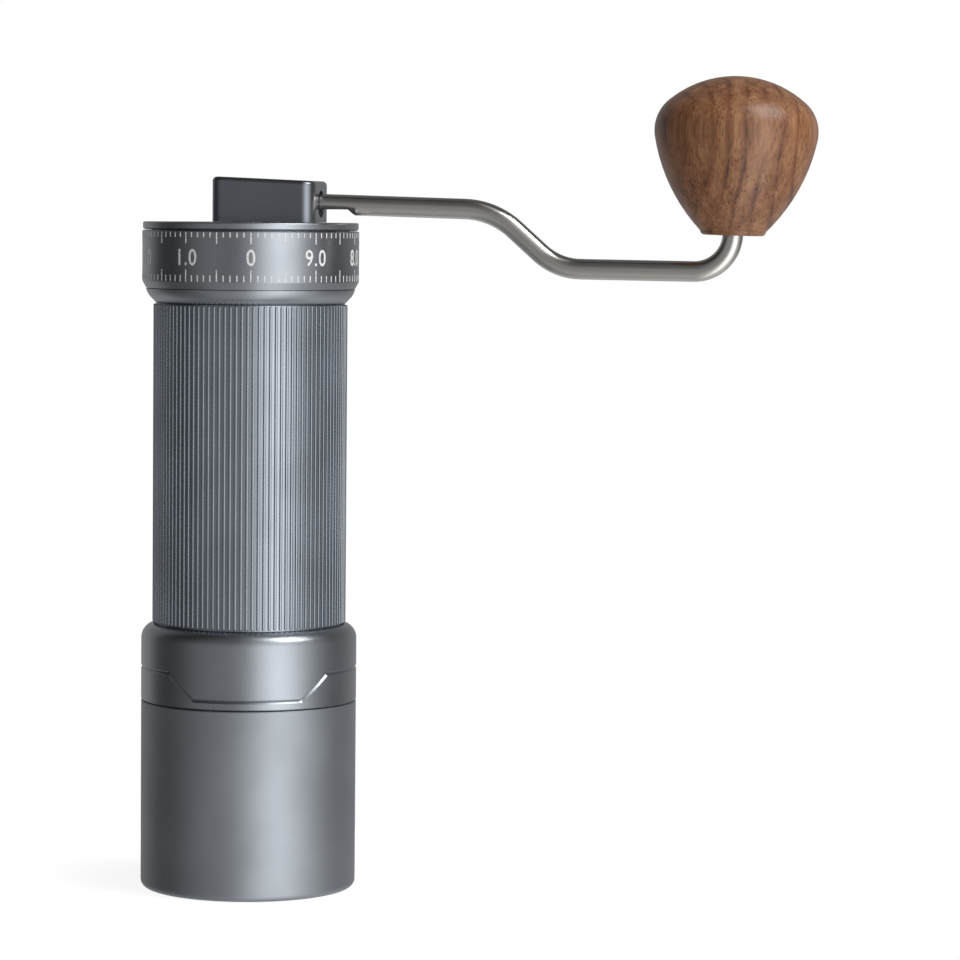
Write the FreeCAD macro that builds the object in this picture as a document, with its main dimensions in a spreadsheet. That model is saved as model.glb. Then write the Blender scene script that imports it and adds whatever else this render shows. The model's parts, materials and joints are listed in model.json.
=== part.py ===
import FreeCAD, Part
import math
import os

import Sketcher

# Hand crank coffee grinder: a round body with a catch cup, a ribbed grip, a numbered grind dial and a
# cranked handle that ends in a turned wooden knob. Millimetres, +Z up, the origin at the centre of the
# cup's base on the grinding axis. Number 0 of the dial faces -Y.

SHEET = {
    # catch cup
    "cup_radius": 28.95, "cup_wall": 1.85, "cup_floor": 3.0, "cup_base_fillet": 2.0,
    "cup_top": 50.75, "cup_rim_wall": 3.15, "cup_rim_height": 5.3, "cup_taper_height": 2.0,
    "cup_edge": 0.25,
    # magnets in the rim and in the housing
    "magnet_radius": 1.2, "magnet_length": 3.0, "magnet_circle": 27.35, "magnet_count": 8,
    "magnet_depth": 3.1,
    # burr housing
    "housing_radius": 28.97, "housing_bottom": 50.85, "housing_top": 71.45, "housing_shoulder": 4.05,
    "housing_shoulder_bottom": 67.5, "housing_mouth": 26.35, "housing_mouth_height": 71.28,
    "spigot_radius": 25.55, "spigot_bottom": 46.5, "burr_seat_radius": 24.05, "burr_seat_top": 64.55,
    "burr_stop_radius": 22.5, "tube_seat_bottom": 66.0, "tube_seat_radius": 24.8,
    # grinding set
    "outer_burr_radius": 24.0, "outer_burr_bottom": 48.5, "outer_burr_top": 64.5,
    "outer_burr_outlet": 21.3, "outer_burr_middle": 18.9, "outer_burr_inlet": 17.8,
    "fine_band_height": 8.0, "lock_ring_inner": 21.9, "lock_ring_height": 1.95, "lock_notch": 1.6,
    "inner_burr_bottom": 46.3, "inner_burr_gap": 0.3, "inner_burr_top": 70.0,
    "inner_burr_top_radius": 9.0, "inner_burr_recess": 5.0, "inner_burr_recess_top": 50.05,
    "burr_bore": 3.55, "fine_teeth": 40, "fine_tooth_depth": 0.7, "coarse_blades": 5,
    "coarse_blade_depth": 4.2, "fine_tooth_width": 1.6, "coarse_blade_width": 3.6,
    "tooth_lean": 14.0, "blade_lean": 32.0,
    # body tube and grip
    "tube_radius": 24.75, "tube_bottom": 66.05, "tube_step": 157.4, "tube_neck_radius": 23.9,
    "tube_bore": 22.6, "tube_top": 177.3, "tube_slot": 6.2, "tube_slot_bottom": 162.0,
    "grip_radius": 26.0, "grip_neck_radius": 25.2, "grip_bore": 24.8, "grip_bottom": 71.5,
    "grip_top": 157.35, "grip_neck": 0.8, "grip_foot": 0.3,
    # top collar with the click balls
    "collar_foot_radius": 25.95, "collar_bottom": 157.4, "collar_top": 161.3, "collar_radius": 28.0,
    "collar_flare": 6.5, "collar_bore": 23.95, "click_circle": 25.3, "click_hole": 0.95,
    "click_hole_depth": 3.2, "click_ball": 0.9, "click_spring_wire": 0.15, "click_spring_radius": 0.7,
    "click_count": 2,
    # grind dial
    "dial_radius": 29.0, "dial_foot_radius": 28.0, "dial_bottom": 161.5, "dial_chamfer": 1.9,
    "dial_top": 177.2, "dial_bore": 26.6, "dial_shoulder_radius": 24.1, "dial_shoulder_bottom": 172.5,
    "dial_shoulder_top": 174.6, "dial_edge": 0.25, "detent_bottom": 161.7, "detent_height": 1.5,
    "detent_bore": 24.2, "detent_radius": 26.55, "detent_dimple": 0.6, "detents": 100,
    "dial_ring_bottom": 174.7, "dial_ring_top": 177.1, "dial_ring_radius": 26.45,
    # bearing carriage, moved by the dial
    "carriage_bottom": 165.5, "carriage_top": 171.2, "carriage_hub": 11.0, "carriage_arm": 6.0,
    "carriage_reach": 26.3, "carriage_arm_bottom": 166.2, "carriage_arm_top": 170.5,
    "bearing_clip_height": 0.6,
    # ball bearings, 7 x 17 x 5
    "race_outer": 8.5, "race_outer_land": 7.1, "race_inner_land": 4.9, "race_bore": 3.55,
    "race_width": 5.0, "ball": 1.5, "ball_groove": 1.6, "ball_circle": 6.0, "balls": 7,
    "cage_inner": 5.6, "cage_outer": 6.4, "cage_half": 1.9, "bearing_seat": 8.55,
    # lower bridge
    "bridge_bottom": 84.0, "bridge_top": 90.6, "bridge_hub": 11.0, "bridge_arm": 5.0,
    "bridge_arm_bottom": 85.0, "bridge_arm_top": 89.6, "bridge_rim": 22.55, "bridge_rim_bore": 20.6,
    # axle
    "axle_radius": 3.5, "axle_bottom": 50.1, "axle_shoulder_bottom": 163.8, "axle_shoulder_top": 165.45,
    "axle_shoulder": 4.6, "axle_round_top": 171.6, "axle_top": 186.0, "hex_radius": 3.44,
    "axle_clip_height": 0.7, "axle_clip_radius": 5.2, "clip_gap": 2.4, "screw_radius": 1.6,
    "screw_hole": 1.65, "screw_length": 9.0, "screw_head": 4.2, "screw_head_height": 2.3,
    "washer_radius": 4.8, "washer_height": 1.0,
    "spring_coil": 4.9, "spring_wire": 0.6, "spring_turns": 5.0, "spring_bottom": 70.1,
    "spring_washer_radius": 5.6, "spring_washer_height": 0.9,
    # hopper lid
    "lid_radius": 28.85, "lid_bottom": 177.4, "lid_top": 179.15, "lid_edge": 0.5, "plug_radius": 22.3,
    "plug_bore": 19.4, "plug_bottom": 173.6, "seal_groove": 20.8, "seal_bottom": 174.5,
    "seal_top": 176.3, "seal_centre": 21.65, "seal_wire": 0.85, "lid_hole": 8.05, "lid_boss": 10.6,
    "lid_boss_bottom": 174.6, "bush_radius": 8.0, "bush_bore": 5.6, "bush_bottom": 174.5,
    "bush_top": 179.15,
    # handle
    "handle_angle": -13.7, "hub_back": 8.9, "hub_front": 19.2, "hub_width": 20.0,
    "hub_bottom": 179.25, "hub_back_top": 191.3, "hub_front_top": 190.2, "hub_corner": 3.5,
    "hub_top_edge": 1.2,
    "socket_radius": 5.95, "socket_hole": 6.0, "socket_top": 188.0, "socket_neck": 5.5,
    "socket_neck_top": 179.1, "socket_bottom": 172.6, "socket_hex_radius": 3.58,
    "socket_hex_top": 187.0, "hub_clip_top": 174.4, "hub_clip_height": 0.8, "hub_clip_radius": 7.4,
    "hub_clip_groove": 4.9,
    "arm_radius": 2.725, "arm_start": 7.6, "arm_root_height": 184.15, "arm_knee": 66.0,
    "arm_knee_height": 183.0, "arm_knee_bend": 21.0, "arm_drop": 83.2, "arm_drop_height": 167.65,
    "arm_drop_bend": 16.5, "arm_heel_height": 167.25, "arm_heel_bend": 10.1,
    "arm_flat_height": 182.75, "arm_flat_end": 27.0, "arm_hole": 2.775, "arm_recess": 3.7,
    "arm_recess_depth": 4.0, "set_screw_radius": 2.0, "set_screw_hole": 2.05, "set_screw_near": 10.6,
    "set_screw_far": 15.6,
    # knob, measured along its own axis from its foot
    "knob_centre": 129.75, "knob_foot_height": 176.9, "knob_lean": 1.2, "knob_foot_radius": 8.4,
    "knob_waist_radius": 21.33, "knob_waist_height": 25.6, "knob_side_bend": 46.7,
    "knob_crown_radius": 17.6, "knob_crown_height": 35.2, "knob_shoulder_bend": 10.3,
    "knob_height": 41.6, "knob_bore": 4.5, "knob_bore_depth": 34.0,
    "bush_wall_radius": 4.45, "spindle_bore": 2.785, "lower_bush_bottom": 0.4, "lower_bush_length": 9.0,
    "upper_bush_bottom": 18.0, "upper_bush_length": 9.0, "spindle_top": 30.0, "spindle_groove": 2.2,
    "knob_clip_bottom": 27.1, "knob_clip_height": 0.8, "knob_clip_radius": 4.0,
}

NODES = []          # every finished sub-part, in the order in which it is written


class Size:
    """A length that knows its value and the spreadsheet expression that gives it."""

    def __init__(self, value, text):
        self.value = value
        self.text = text

    @staticmethod
    def of(number):
        return number if isinstance(number, Size) else Size(float(number), repr(float(number)))

    def __add__(self, other):
        other = Size.of(other)
        return Size(self.value + other.value, f"({self.text} + {other.text})")

    def __sub__(self, other):
        other = Size.of(other)
        return Size(self.value - other.value, f"({self.text} - {other.text})")

    def __mul__(self, other):
        other = Size.of(other)
        return Size(self.value * other.value, f"({self.text} * {other.text})")

    def __truediv__(self, other):
        other = Size.of(other)
        return Size(self.value / other.value, f"({self.text} / {other.text})")

    def __neg__(self):
        return Size(-self.value, f"(-1 * {self.text})")


class Sizes:
    """The driving dimensions: one spreadsheet row each, read back as Size objects by name."""

    def __init__(self, document, table):
        sheet = document.addObject("Spreadsheet::Sheet", "Sizes")
        for row, (alias, value) in enumerate(table.items(), start=1):
            sheet.set(f"A{row}", alias)
            sheet.set(f"B{row}", str(value))
            sheet.setAlias(f"B{row}", alias)
        document.recompute()
        self.sheet = sheet

    def __getattr__(self, alias):
        return Size(float(self.sheet.get(alias)), f"Sizes.{alias}")


doc = FreeCAD.newDocument("coffee_grinder")
S = Sizes(doc, SHEET)


# ---- small building blocks ---------------------------------------------------------------------------

def bind(obj, **sizes):
    """Ties properties of an object to the spreadsheet."""
    for name, size in sizes.items():
        obj.setExpression(name.replace("__", "."), Size.of(size).text)


def node(obj, name):
    """Labels a finished sub-part and puts it on the list of nodes."""
    obj.Label = name
    NODES.append(obj)
    return obj


def new_body(name):
    body = doc.addObject("PartDesign::Body", name)
    return node(body, name)


def origin_feature(body, role):
    return next(feature for feature in body.Origin.OriginFeatures if feature.Role == role)


def new_sketch(body, plane, name, offset=None):
    """A sketch on one of the body's own origin planes, lifted by offset along the plane's normal."""
    sketch = body.newObject("Sketcher::SketchObject", name)
    sketch.AttachmentSupport = (origin_feature(body, plane), "")
    sketch.MapMode = "FlatFace"
    if offset is not None:
        bind(sketch, AttachmentOffset__Base__z=offset)
    return sketch


def pin_point(sketch, geometry, point, across, up):
    """Fixes a sketch point at (across, up) from the sketch's origin."""
    for kind, size, axis in (("DistanceX", across, -2), ("DistanceY", up, -1)):
        size = Size.of(size)
        if size.text == "0.0":
            sketch.addConstraint(Sketcher.Constraint("PointOnObject", geometry, point, axis))
            continue
        index = sketch.addConstraint(Sketcher.Constraint(kind, -1, 1, geometry, point, size.value))
        sketch.setExpression(f"Constraints[{index}]", size.text)


def arc_between(start, end, radius):
    """The short arc from start to end; a positive radius turns left, a negative one turns right."""
    chord = end - start
    middle = (start + end) / 2
    rise = math.sqrt(radius * radius - chord.Length ** 2 / 4)
    side = math.copysign(1, radius)
    centre = middle + FreeCAD.Vector(-chord.y, chord.x, 0).normalize() * rise * side
    first, last = (start, end) if radius > 0 else (end, start)
    angles = [math.atan2(p.y - centre.y, p.x - centre.x) for p in (first, last)]
    circle = Part.Circle(centre, FreeCAD.Vector(0, 0, 1), abs(radius))
    return Part.ArcOfCircle(circle, *angles)


def outline(sketch, points):
    """A closed outline through (across, up) points; a third value is the arc's radius that ends there."""
    places = [FreeCAD.Vector(Size.of(p[0]).value, Size.of(p[1]).value, 0) for p in points]
    ends = []
    for index, point in enumerate(points):
        following = points[(index + 1) % len(points)]
        start, end = places[index], places[(index + 1) % len(points)]
        if len(following) == 3:
            radius = Size.of(following[2])
            geometry = sketch.addGeometry(arc_between(start, end, radius.value), False)
            bend = sketch.addConstraint(Sketcher.Constraint("Radius", geometry, abs(radius.value)))
            bound = radius if radius.value > 0 else -radius
            sketch.setExpression(f"Constraints[{bend}]", bound.text)
            ends.append((geometry, 1, 2) if radius.value > 0 else (geometry, 2, 1))
        else:
            ends.append((sketch.addGeometry(Part.LineSegment(start, end), False), 1, 2))
    for index, (geometry, first, _) in enumerate(ends):
        before, _, last = ends[index - 1]
        sketch.addConstraint(Sketcher.Constraint("Coincident", before, last, geometry, first))
        pin_point(sketch, geometry, first, points[index][0], points[index][1])


def circle(sketch, across, up, radius):
    centre = FreeCAD.Vector(Size.of(across).value, Size.of(up).value, 0)
    ring = Part.Circle(centre, FreeCAD.Vector(0, 0, 1), radius.value)
    geometry = sketch.addGeometry(ring, False)
    index = sketch.addConstraint(Sketcher.Constraint("Radius", geometry, radius.value))
    sketch.setExpression(f"Constraints[{index}]", radius.text)
    pin_point(sketch, geometry, 3, across, up)


def turned(body, kind, name, points):
    """A lathe feature: PartDesign::Revolution adds it, PartDesign::Groove cuts it."""
    sketch = new_sketch(body, "XZ_Plane", name + "_outline")
    outline(sketch, points)
    feature = body.newObject(kind, name)
    feature.Profile = sketch
    feature.ReferenceAxis = (sketch, ["V_Axis"])
    feature.Angle = 360
    body.Tip = feature
    return feature


def turned_body(name, points):
    body = new_body(name)
    turned(body, "PartDesign::Revolution", name + "_turned", points)
    return body


def ring(inner, outer, bottom, top):
    return [(inner, bottom), (outer, bottom), (outer, top), (inner, top)]


def box_outline(left, right, low, high):
    return [(left, low), (right, low), (right, high), (left, high)]


def milled(body, kind, name, sketch, length, upwards):
    """A PartDesign::Pad or PartDesign::Pocket that runs up or down from a sketch on the XY plane."""
    feature = body.newObject(kind, name)
    feature.Profile = sketch
    bind(feature, Length=length)
    feature.Reversed = upwards if kind == "PartDesign::Pocket" else not upwards
    body.Tip = feature
    return feature


def around(body, feature, count, name):
    """Repeats a feature evenly about the body's Z axis."""
    pattern = body.newObject("PartDesign::PolarPattern", name)
    pattern.Originals = [feature]
    pattern.Axis = (origin_feature(body, "Z_Axis"), [""])
    pattern.Angle = 360
    bind(pattern, Occurrences=count)
    body.Tip = pattern
    return pattern


def ring_places(count, radius, height, first_angle=0.0):
    """Places spread evenly on a circle about the Z axis."""
    for index in range(int(count.value)):
        angle = math.radians(first_angle) + 2 * math.pi * index / count.value
        yield FreeCAD.Vector(radius.value * math.cos(angle), radius.value * math.sin(angle), height.value)


def cylinder(name, radius, height, place):
    obj = doc.addObject("Part::Cylinder", name)
    bind(obj, Radius=radius, Height=height)
    obj.Placement.Base = place
    return obj


def ball(name, radius, place):
    obj = doc.addObject("Part::Sphere", name)
    bind(obj, Radius=radius)
    obj.Placement.Base = place
    return obj


def hexagon(name, radius, height, bottom):
    obj = doc.addObject("Part::Prism", name)
    obj.Polygon = 6
    bind(obj, Circumradius=radius, Height=height, Placement__Base__z=bottom)
    return obj


def group(name, members):
    compound = doc.addObject("Part::Compound", name)
    compound.Links = members
    return compound


def cut(name, base, tool):
    obj = doc.addObject("Part::Cut", name)
    obj.Base = base
    obj.Tool = tool
    return obj


def fuse(name, members):
    obj = doc.addObject("Part::MultiFuse", name)
    obj.Shapes = members
    return obj


def shape_feature(name, shape):
    feature = doc.addObject("Part::Feature", name)
    feature.Shape = shape
    return feature


def clip(name, inner, outer, bottom, height):
    """A retaining clip: a flat ring with an opening towards +X."""
    body = turned_body(name, ring(inner, outer, bottom, bottom + height))
    sketch = new_sketch(body, "XY_Plane", name + "_opening", bottom)
    outline(sketch, box_outline(inner / 2, outer + 1, -S.clip_gap, S.clip_gap))
    milled(body, "PartDesign::Pocket", name + "_gap", sketch, height, True)
    return body


def magnets(name, top):
    places = ring_places(S.magnet_count, S.magnet_circle, top - S.magnet_length, 22.5)
    pins = [cylinder(f"{name}_{i}", S.magnet_radius, S.magnet_length, p) for i, p in enumerate(places)]
    return node(group(name, pins), name)


def magnet_holes(body, mouth, upwards):
    sketch = new_sketch(body, "XY_Plane", body.Name + "_magnet_hole", mouth)
    angle = math.radians(22.5)
    circle(sketch, S.magnet_circle * math.cos(angle), S.magnet_circle * math.sin(angle),
           S.magnet_radius + 0.02)
    pocket = milled(body, "PartDesign::Pocket", body.Name + "_magnet_pocket", sketch, S.magnet_depth,
                    upwards)
    around(body, pocket, S.magnet_count, body.Name + "_magnet_holes")


def coil_spring(name, coil_radius, wire_radius, bottom, top, turns):
    """A round-wire spring between two heights, as one swept solid."""
    height = top - bottom - 2 * wire_radius
    helix = Part.makeHelix(height / turns, height, coil_radius)
    section = Part.Wire(Part.Circle(FreeCAD.Vector(coil_radius, 0, 0), FreeCAD.Vector(0, 1, 0),
                                    wire_radius).toShape())
    shape = Part.Wire(helix.Edges).makePipeShell([section], True, True)
    shape.translate(FreeCAD.Vector(0, 0, bottom + wire_radius))
    return shape


# ---- catch cup -----------------------------------------------------------------------------------------

def catch_cup():
    inner = S.cup_radius - S.cup_wall
    rim_inner = S.cup_radius - S.cup_rim_wall
    rim_bottom = S.cup_top - S.cup_rim_height
    body = turned_body("catch_cup", [
        (0, 0), (S.cup_radius - S.cup_base_fillet, 0),
        (S.cup_radius, S.cup_base_fillet, S.cup_base_fillet),
        (S.cup_radius, S.cup_top - S.cup_edge), (S.cup_radius - S.cup_edge, S.cup_top),
        (rim_inner, S.cup_top), (rim_inner, rim_bottom), (inner, rim_bottom - S.cup_taper_height),
        (inner, S.cup_floor + S.cup_base_fillet),
        (inner - S.cup_base_fillet, S.cup_floor, -S.cup_base_fillet), (0, S.cup_floor)])
    magnet_holes(body, S.cup_top, False)
    magnets("cup_magnets", S.cup_top - 0.05)


# ---- burr housing and grinding set ---------------------------------------------------------------------

def burr_housing():
    body = turned_body("burr_housing", [
        (S.burr_seat_radius, S.spigot_bottom), (S.spigot_radius, S.spigot_bottom),
        (S.spigot_radius, S.housing_bottom), (S.housing_radius - S.cup_edge, S.housing_bottom),
        (S.housing_radius, S.housing_bottom + S.cup_edge),
        (S.housing_radius, S.housing_shoulder_bottom),
        (S.housing_mouth, S.housing_mouth_height, S.housing_shoulder),
        (S.housing_mouth - 0.6, S.housing_top),
        (S.tube_seat_radius, S.housing_top), (S.tube_seat_radius, S.tube_seat_bottom),
        (S.burr_stop_radius, S.tube_seat_bottom), (S.burr_stop_radius, S.burr_seat_top),
        (S.burr_seat_radius, S.burr_seat_top)])
    magnet_holes(body, S.housing_bottom, True)
    magnets("housing_magnets", S.housing_bottom + 0.05 + S.magnet_length)


def tooth_cutters(name, count, depth, half_width, lean, low, high):
    """Leaning V cutters along a cone's line from low to high (radius, height).

    A depth below 0 cuts outwards.
    """
    start = FreeCAD.Vector(low[0].value, 0, low[1].value)
    along = FreeCAD.Vector(high[0].value, 0, high[1].value) - start
    normal = FreeCAD.Vector(along.z, 0, -along.x).normalize() * depth.value
    root, crest = start - normal, start + normal * 0.6
    side = FreeCAD.Vector(0, half_width.value, 0)
    cutter = Part.Face(Part.makePolygon([root, crest + side, crest - side, root])).extrude(along)
    cutter.rotate(start + along / 2, FreeCAD.Vector(1, 0, 0), lean.value)
    copies = []
    for index in range(int(count.value)):
        copy = cutter.copy()
        copy.rotate(FreeCAD.Vector(), FreeCAD.Vector(0, 0, 1), 360.0 * index / count.value)
        copies.append(copy)
    return shape_feature(name, Part.Compound(copies))


def outer_burr():
    middle = S.outer_burr_bottom + S.fine_band_height
    body = doc.addObject("PartDesign::Body", "outer_burr_blank")
    turned(body, "PartDesign::Revolution", "outer_burr_turned", [
        (S.outer_burr_outlet, S.outer_burr_bottom), (S.outer_burr_radius, S.outer_burr_bottom),
        (S.outer_burr_radius, S.outer_burr_top), (S.outer_burr_inlet, S.outer_burr_top),
        (S.outer_burr_middle, middle)])
    cutters = tooth_cutters(
        "outer_burr_cutters", S.fine_teeth, -S.fine_tooth_depth, S.fine_tooth_width, -S.tooth_lean,
        (S.outer_burr_outlet, S.outer_burr_bottom - 1), (S.outer_burr_inlet - 0.4, S.outer_burr_top + 1))
    node(cut("outer_burr", body, cutters), "outer_burr")


def outer_burr_lock_ring():
    bottom = S.spigot_bottom
    body = turned_body("outer_burr_lock_ring",
                       ring(S.lock_ring_inner, S.outer_burr_radius, bottom, bottom + S.lock_ring_height))
    sketch = new_sketch(body, "XY_Plane", "lock_ring_notch", bottom)
    outline(sketch, box_outline(S.lock_ring_inner - 1, S.lock_ring_inner + 0.9, -S.lock_notch,
                                S.lock_notch))
    notch = milled(body, "PartDesign::Pocket", "lock_ring_notch_cut", sketch, S.lock_ring_height, True)
    around(body, notch, Size.of(3), "lock_ring_notches")


def inner_burr():
    outlet = S.outer_burr_outlet - S.inner_burr_gap
    middle = S.outer_burr_middle - S.inner_burr_gap
    middle_height = S.outer_burr_bottom + S.fine_band_height
    body = doc.addObject("PartDesign::Body", "inner_burr_blank")
    turned(body, "PartDesign::Revolution", "inner_burr_turned", [
        (S.inner_burr_recess, S.inner_burr_bottom), (outlet, S.inner_burr_bottom),
        (outlet, S.outer_burr_bottom), (middle, middle_height),
        (S.inner_burr_top_radius, S.inner_burr_top), (S.burr_bore, S.inner_burr_top),
        (S.burr_bore, S.inner_burr_recess_top), (S.inner_burr_recess, S.inner_burr_recess_top)])
    fine = tooth_cutters(
        "inner_burr_fine_cutters", S.fine_teeth, S.fine_tooth_depth, S.fine_tooth_width, S.tooth_lean,
        (outlet, S.inner_burr_bottom - 1), (middle, middle_height))
    coarse = tooth_cutters(
        "inner_burr_blade_cutters", S.coarse_blades, S.coarse_blade_depth, S.coarse_blade_width,
        S.blade_lean, (middle - 1, middle_height), (S.inner_burr_top_radius, S.inner_burr_top + 4))
    toothed = cut("inner_burr_toothed", body, fine)
    node(cut("inner_burr", toothed, coarse), "inner_burr")


# ---- body tube, grip and collars -----------------------------------------------------------------------

def body_tube():
    body = turned_body("body_tube", [
        (S.tube_bore, S.tube_bottom), (S.tube_radius, S.tube_bottom), (S.tube_radius, S.tube_step),
        (S.tube_neck_radius, S.tube_step), (S.tube_neck_radius, S.tube_top), (S.tube_bore, S.tube_top)])
    sketch = new_sketch(body, "XY_Plane", "tube_slot", S.tube_slot_bottom)
    half = S.tube_slot / 2
    outline(sketch, box_outline(S.tube_bore - 2, S.tube_radius + 2, -half, half))
    slot = milled(body, "PartDesign::Pocket", "tube_slot_cut", sketch, S.tube_top - S.tube_slot_bottom + 1,
                  True)
    around(body, slot, Size.of(3), "tube_slots")


def grip_sleeve():
    low, high = S.grip_bottom + S.grip_foot, S.grip_top - S.grip_neck
    turned_body("grip_sleeve", [
        (S.grip_bore, S.grip_bottom), (S.grip_neck_radius, S.grip_bottom), (S.grip_neck_radius, low),
        (S.grip_radius, low), (S.grip_radius, high), (S.grip_neck_radius, high),
        (S.grip_neck_radius, S.grip_top), (S.grip_bore, S.grip_top)])


def top_collar():
    body = turned_body("top_collar", [
        (S.collar_bore, S.collar_bottom), (S.collar_foot_radius, S.collar_bottom),
        (S.collar_radius, S.collar_top, S.collar_flare), (S.collar_bore, S.collar_top)])
    sketch = new_sketch(body, "XY_Plane", "click_hole", S.collar_top)
    circle(sketch, S.click_circle, 0, S.click_hole)
    hole = milled(body, "PartDesign::Pocket", "click_hole_cut", sketch, S.click_hole_depth, False)
    around(body, hole, S.click_count, "click_holes")


def click_mechanism():
    hole_bottom = S.collar_top - S.click_hole_depth
    ball_height = S.detent_bottom - S.click_ball - 0.06
    balls = [ball(f"click_ball_{i}", S.click_ball, place)
             for i, place in enumerate(ring_places(S.click_count, S.click_circle, ball_height))]
    node(group("click_balls", balls), "click_balls")
    spring_top = ball_height - S.click_ball - 0.02
    coil = coil_spring("click_spring", S.click_spring_radius.value, S.click_spring_wire.value,
                       hole_bottom.value + 0.05, spring_top.value, 3.0)
    coils = []
    for place in ring_places(S.click_count, S.click_circle, Size.of(0)):
        copy = coil.copy()
        copy.translate(place)
        coils.append(copy)
    node(shape_feature("click_springs", Part.Compound(coils)), "click_springs")


# ---- grind dial ----------------------------------------------------------------------------------------

def dial_ring():
    turned_body("dial_ring", [
        (S.dial_bore, S.dial_bottom), (S.dial_foot_radius, S.dial_bottom),
        (S.dial_radius, S.dial_bottom + S.dial_chamfer), (S.dial_radius, S.dial_top - S.dial_edge),
        (S.dial_radius - S.dial_edge, S.dial_top), (S.dial_bore, S.dial_top),
        (S.dial_bore, S.dial_shoulder_top), (S.dial_shoulder_radius, S.dial_shoulder_top),
        (S.dial_shoulder_radius, S.dial_shoulder_bottom), (S.dial_bore, S.dial_shoulder_bottom)])


def detent_ring():
    top = S.detent_bottom + S.detent_height
    body = doc.addObject("PartDesign::Body", "detent_ring_blank")
    turned(body, "PartDesign::Revolution", "detent_ring_turned",
           ring(S.detent_bore, S.detent_radius, S.detent_bottom, top))
    dimple = S.detent_dimple.value
    depth_centre = S.detent_bottom - S.detent_dimple / 3
    cutters = [Part.makeSphere(dimple, place)
               for place in ring_places(S.detents, S.click_circle, depth_centre)]
    tool = shape_feature("detent_cutters", Part.Compound(cutters))
    node(cut("detent_ring", body, tool), "detent_ring")


def dial_retaining_ring():
    turned_body("dial_retaining_ring",
                ring(S.collar_bore, S.dial_ring_radius, S.dial_ring_bottom, S.dial_ring_top))


# ---- bearings ------------------------------------------------------------------------------------------

def bearing(prefix, bottom):
    """A ball bearing: two grooved rings, a cage and its balls, each a node of its own."""
    middle = bottom + S.race_width / 2
    top = bottom + S.race_width
    land, seat = S.race_outer_land, S.race_outer
    groove_half = S.ball_groove * 0.7
    turned_body(prefix + "_bearing_outer_ring", [
        (land, bottom), (seat, bottom), (seat, top), (land, top), (land, middle + groove_half),
        (land, middle - groove_half, -S.ball_groove)])
    bore, land = S.race_bore, S.race_inner_land
    turned_body(prefix + "_bearing_inner_ring", [
        (bore, bottom), (land, bottom), (land, middle - groove_half),
        (land, middle + groove_half, -S.ball_groove), (land, top), (bore, top)])
    cage = turned_body(prefix + "_bearing_cage", ring(S.cage_inner, S.cage_outer, middle - S.cage_half,
                                                      middle + S.cage_half))
    sketch = new_sketch(cage, "YZ_Plane", prefix + "_cage_pocket")
    circle(sketch, 0, middle, S.ball_groove)
    pocket = milled(cage, "PartDesign::Pocket", prefix + "_cage_pocket_cut", sketch, S.cage_outer + 1,
                    True)
    around(cage, pocket, S.balls, prefix + "_cage_pockets")
    balls = [ball(f"{prefix}_ball_{i}", S.ball, place)
             for i, place in enumerate(ring_places(S.balls, S.ball_circle, middle))]
    node(group(prefix + "_bearing_balls", balls), prefix + "_bearing_balls")


def spider(name, hub_radius, hub_bottom, hub_top, arm_width, reach, arm_bottom, arm_top):
    """A bearing holder: a hub with a bearing seat and three arms towards the tube."""
    seat_top = hub_bottom + 0.5 + S.race_width
    body = turned_body(name, [
        (S.bearing_seat - 1.6, hub_bottom), (hub_radius, hub_bottom), (hub_radius, hub_top),
        (S.bearing_seat, hub_top), (S.bearing_seat, seat_top - S.race_width),
        (S.bearing_seat - 1.6, seat_top - S.race_width)])
    sketch = new_sketch(body, "XY_Plane", name + "_arm", arm_bottom)
    outline(sketch, box_outline(hub_radius - 0.8, reach, -(arm_width / 2), arm_width / 2))
    arm = milled(body, "PartDesign::Pad", name + "_arm_pad", sketch, arm_top - arm_bottom, True)
    around(body, arm, Size.of(3), name + "_arms")
    return body


def bearing_carriage():
    spider("bearing_carriage", S.carriage_hub, S.carriage_bottom - 0.5, S.carriage_top, S.carriage_arm,
           S.carriage_reach, S.carriage_arm_bottom, S.carriage_arm_top)
    clip("bearing_clip", S.race_outer_land, S.race_outer, S.carriage_bottom + S.race_width + 0.03,
         S.bearing_clip_height)


def lower_bridge():
    body = spider("lower_bridge", S.bridge_hub, S.bridge_bottom, S.bridge_top, S.bridge_arm,
                  S.bridge_rim - 0.5, S.bridge_arm_bottom, S.bridge_arm_top)
    turned(body, "PartDesign::Revolution", "bridge_rim_ring",
           ring(S.bridge_rim_bore, S.bridge_rim, S.bridge_arm_bottom, S.bridge_arm_top))


# ---- axle ----------------------------------------------------------------------------------------------

def axle():
    blank = doc.addObject("PartDesign::Body", "axle_round")
    turned(blank, "PartDesign::Revolution", "axle_turned", [
        (0, S.axle_bottom + S.screw_length), (S.screw_hole, S.axle_bottom + S.screw_length),
        (S.screw_hole, S.axle_bottom), (S.axle_radius, S.axle_bottom),
        (S.axle_radius, S.axle_shoulder_bottom), (S.axle_shoulder, S.axle_shoulder_bottom),
        (S.axle_shoulder, S.axle_shoulder_top), (S.axle_radius, S.axle_shoulder_top),
        (S.axle_radius, S.axle_round_top), (0, S.axle_round_top)])
    drive = hexagon("axle_hexagon", S.hex_radius, S.axle_top - S.axle_round_top + 0.5,
                    S.axle_round_top - 0.5)
    node(fuse("axle", [blank, drive]), "axle")
    clip("axle_clip", S.axle_radius + 0.02, S.axle_clip_radius, S.carriage_bottom + S.race_width + 0.05,
         S.axle_clip_height)


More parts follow.
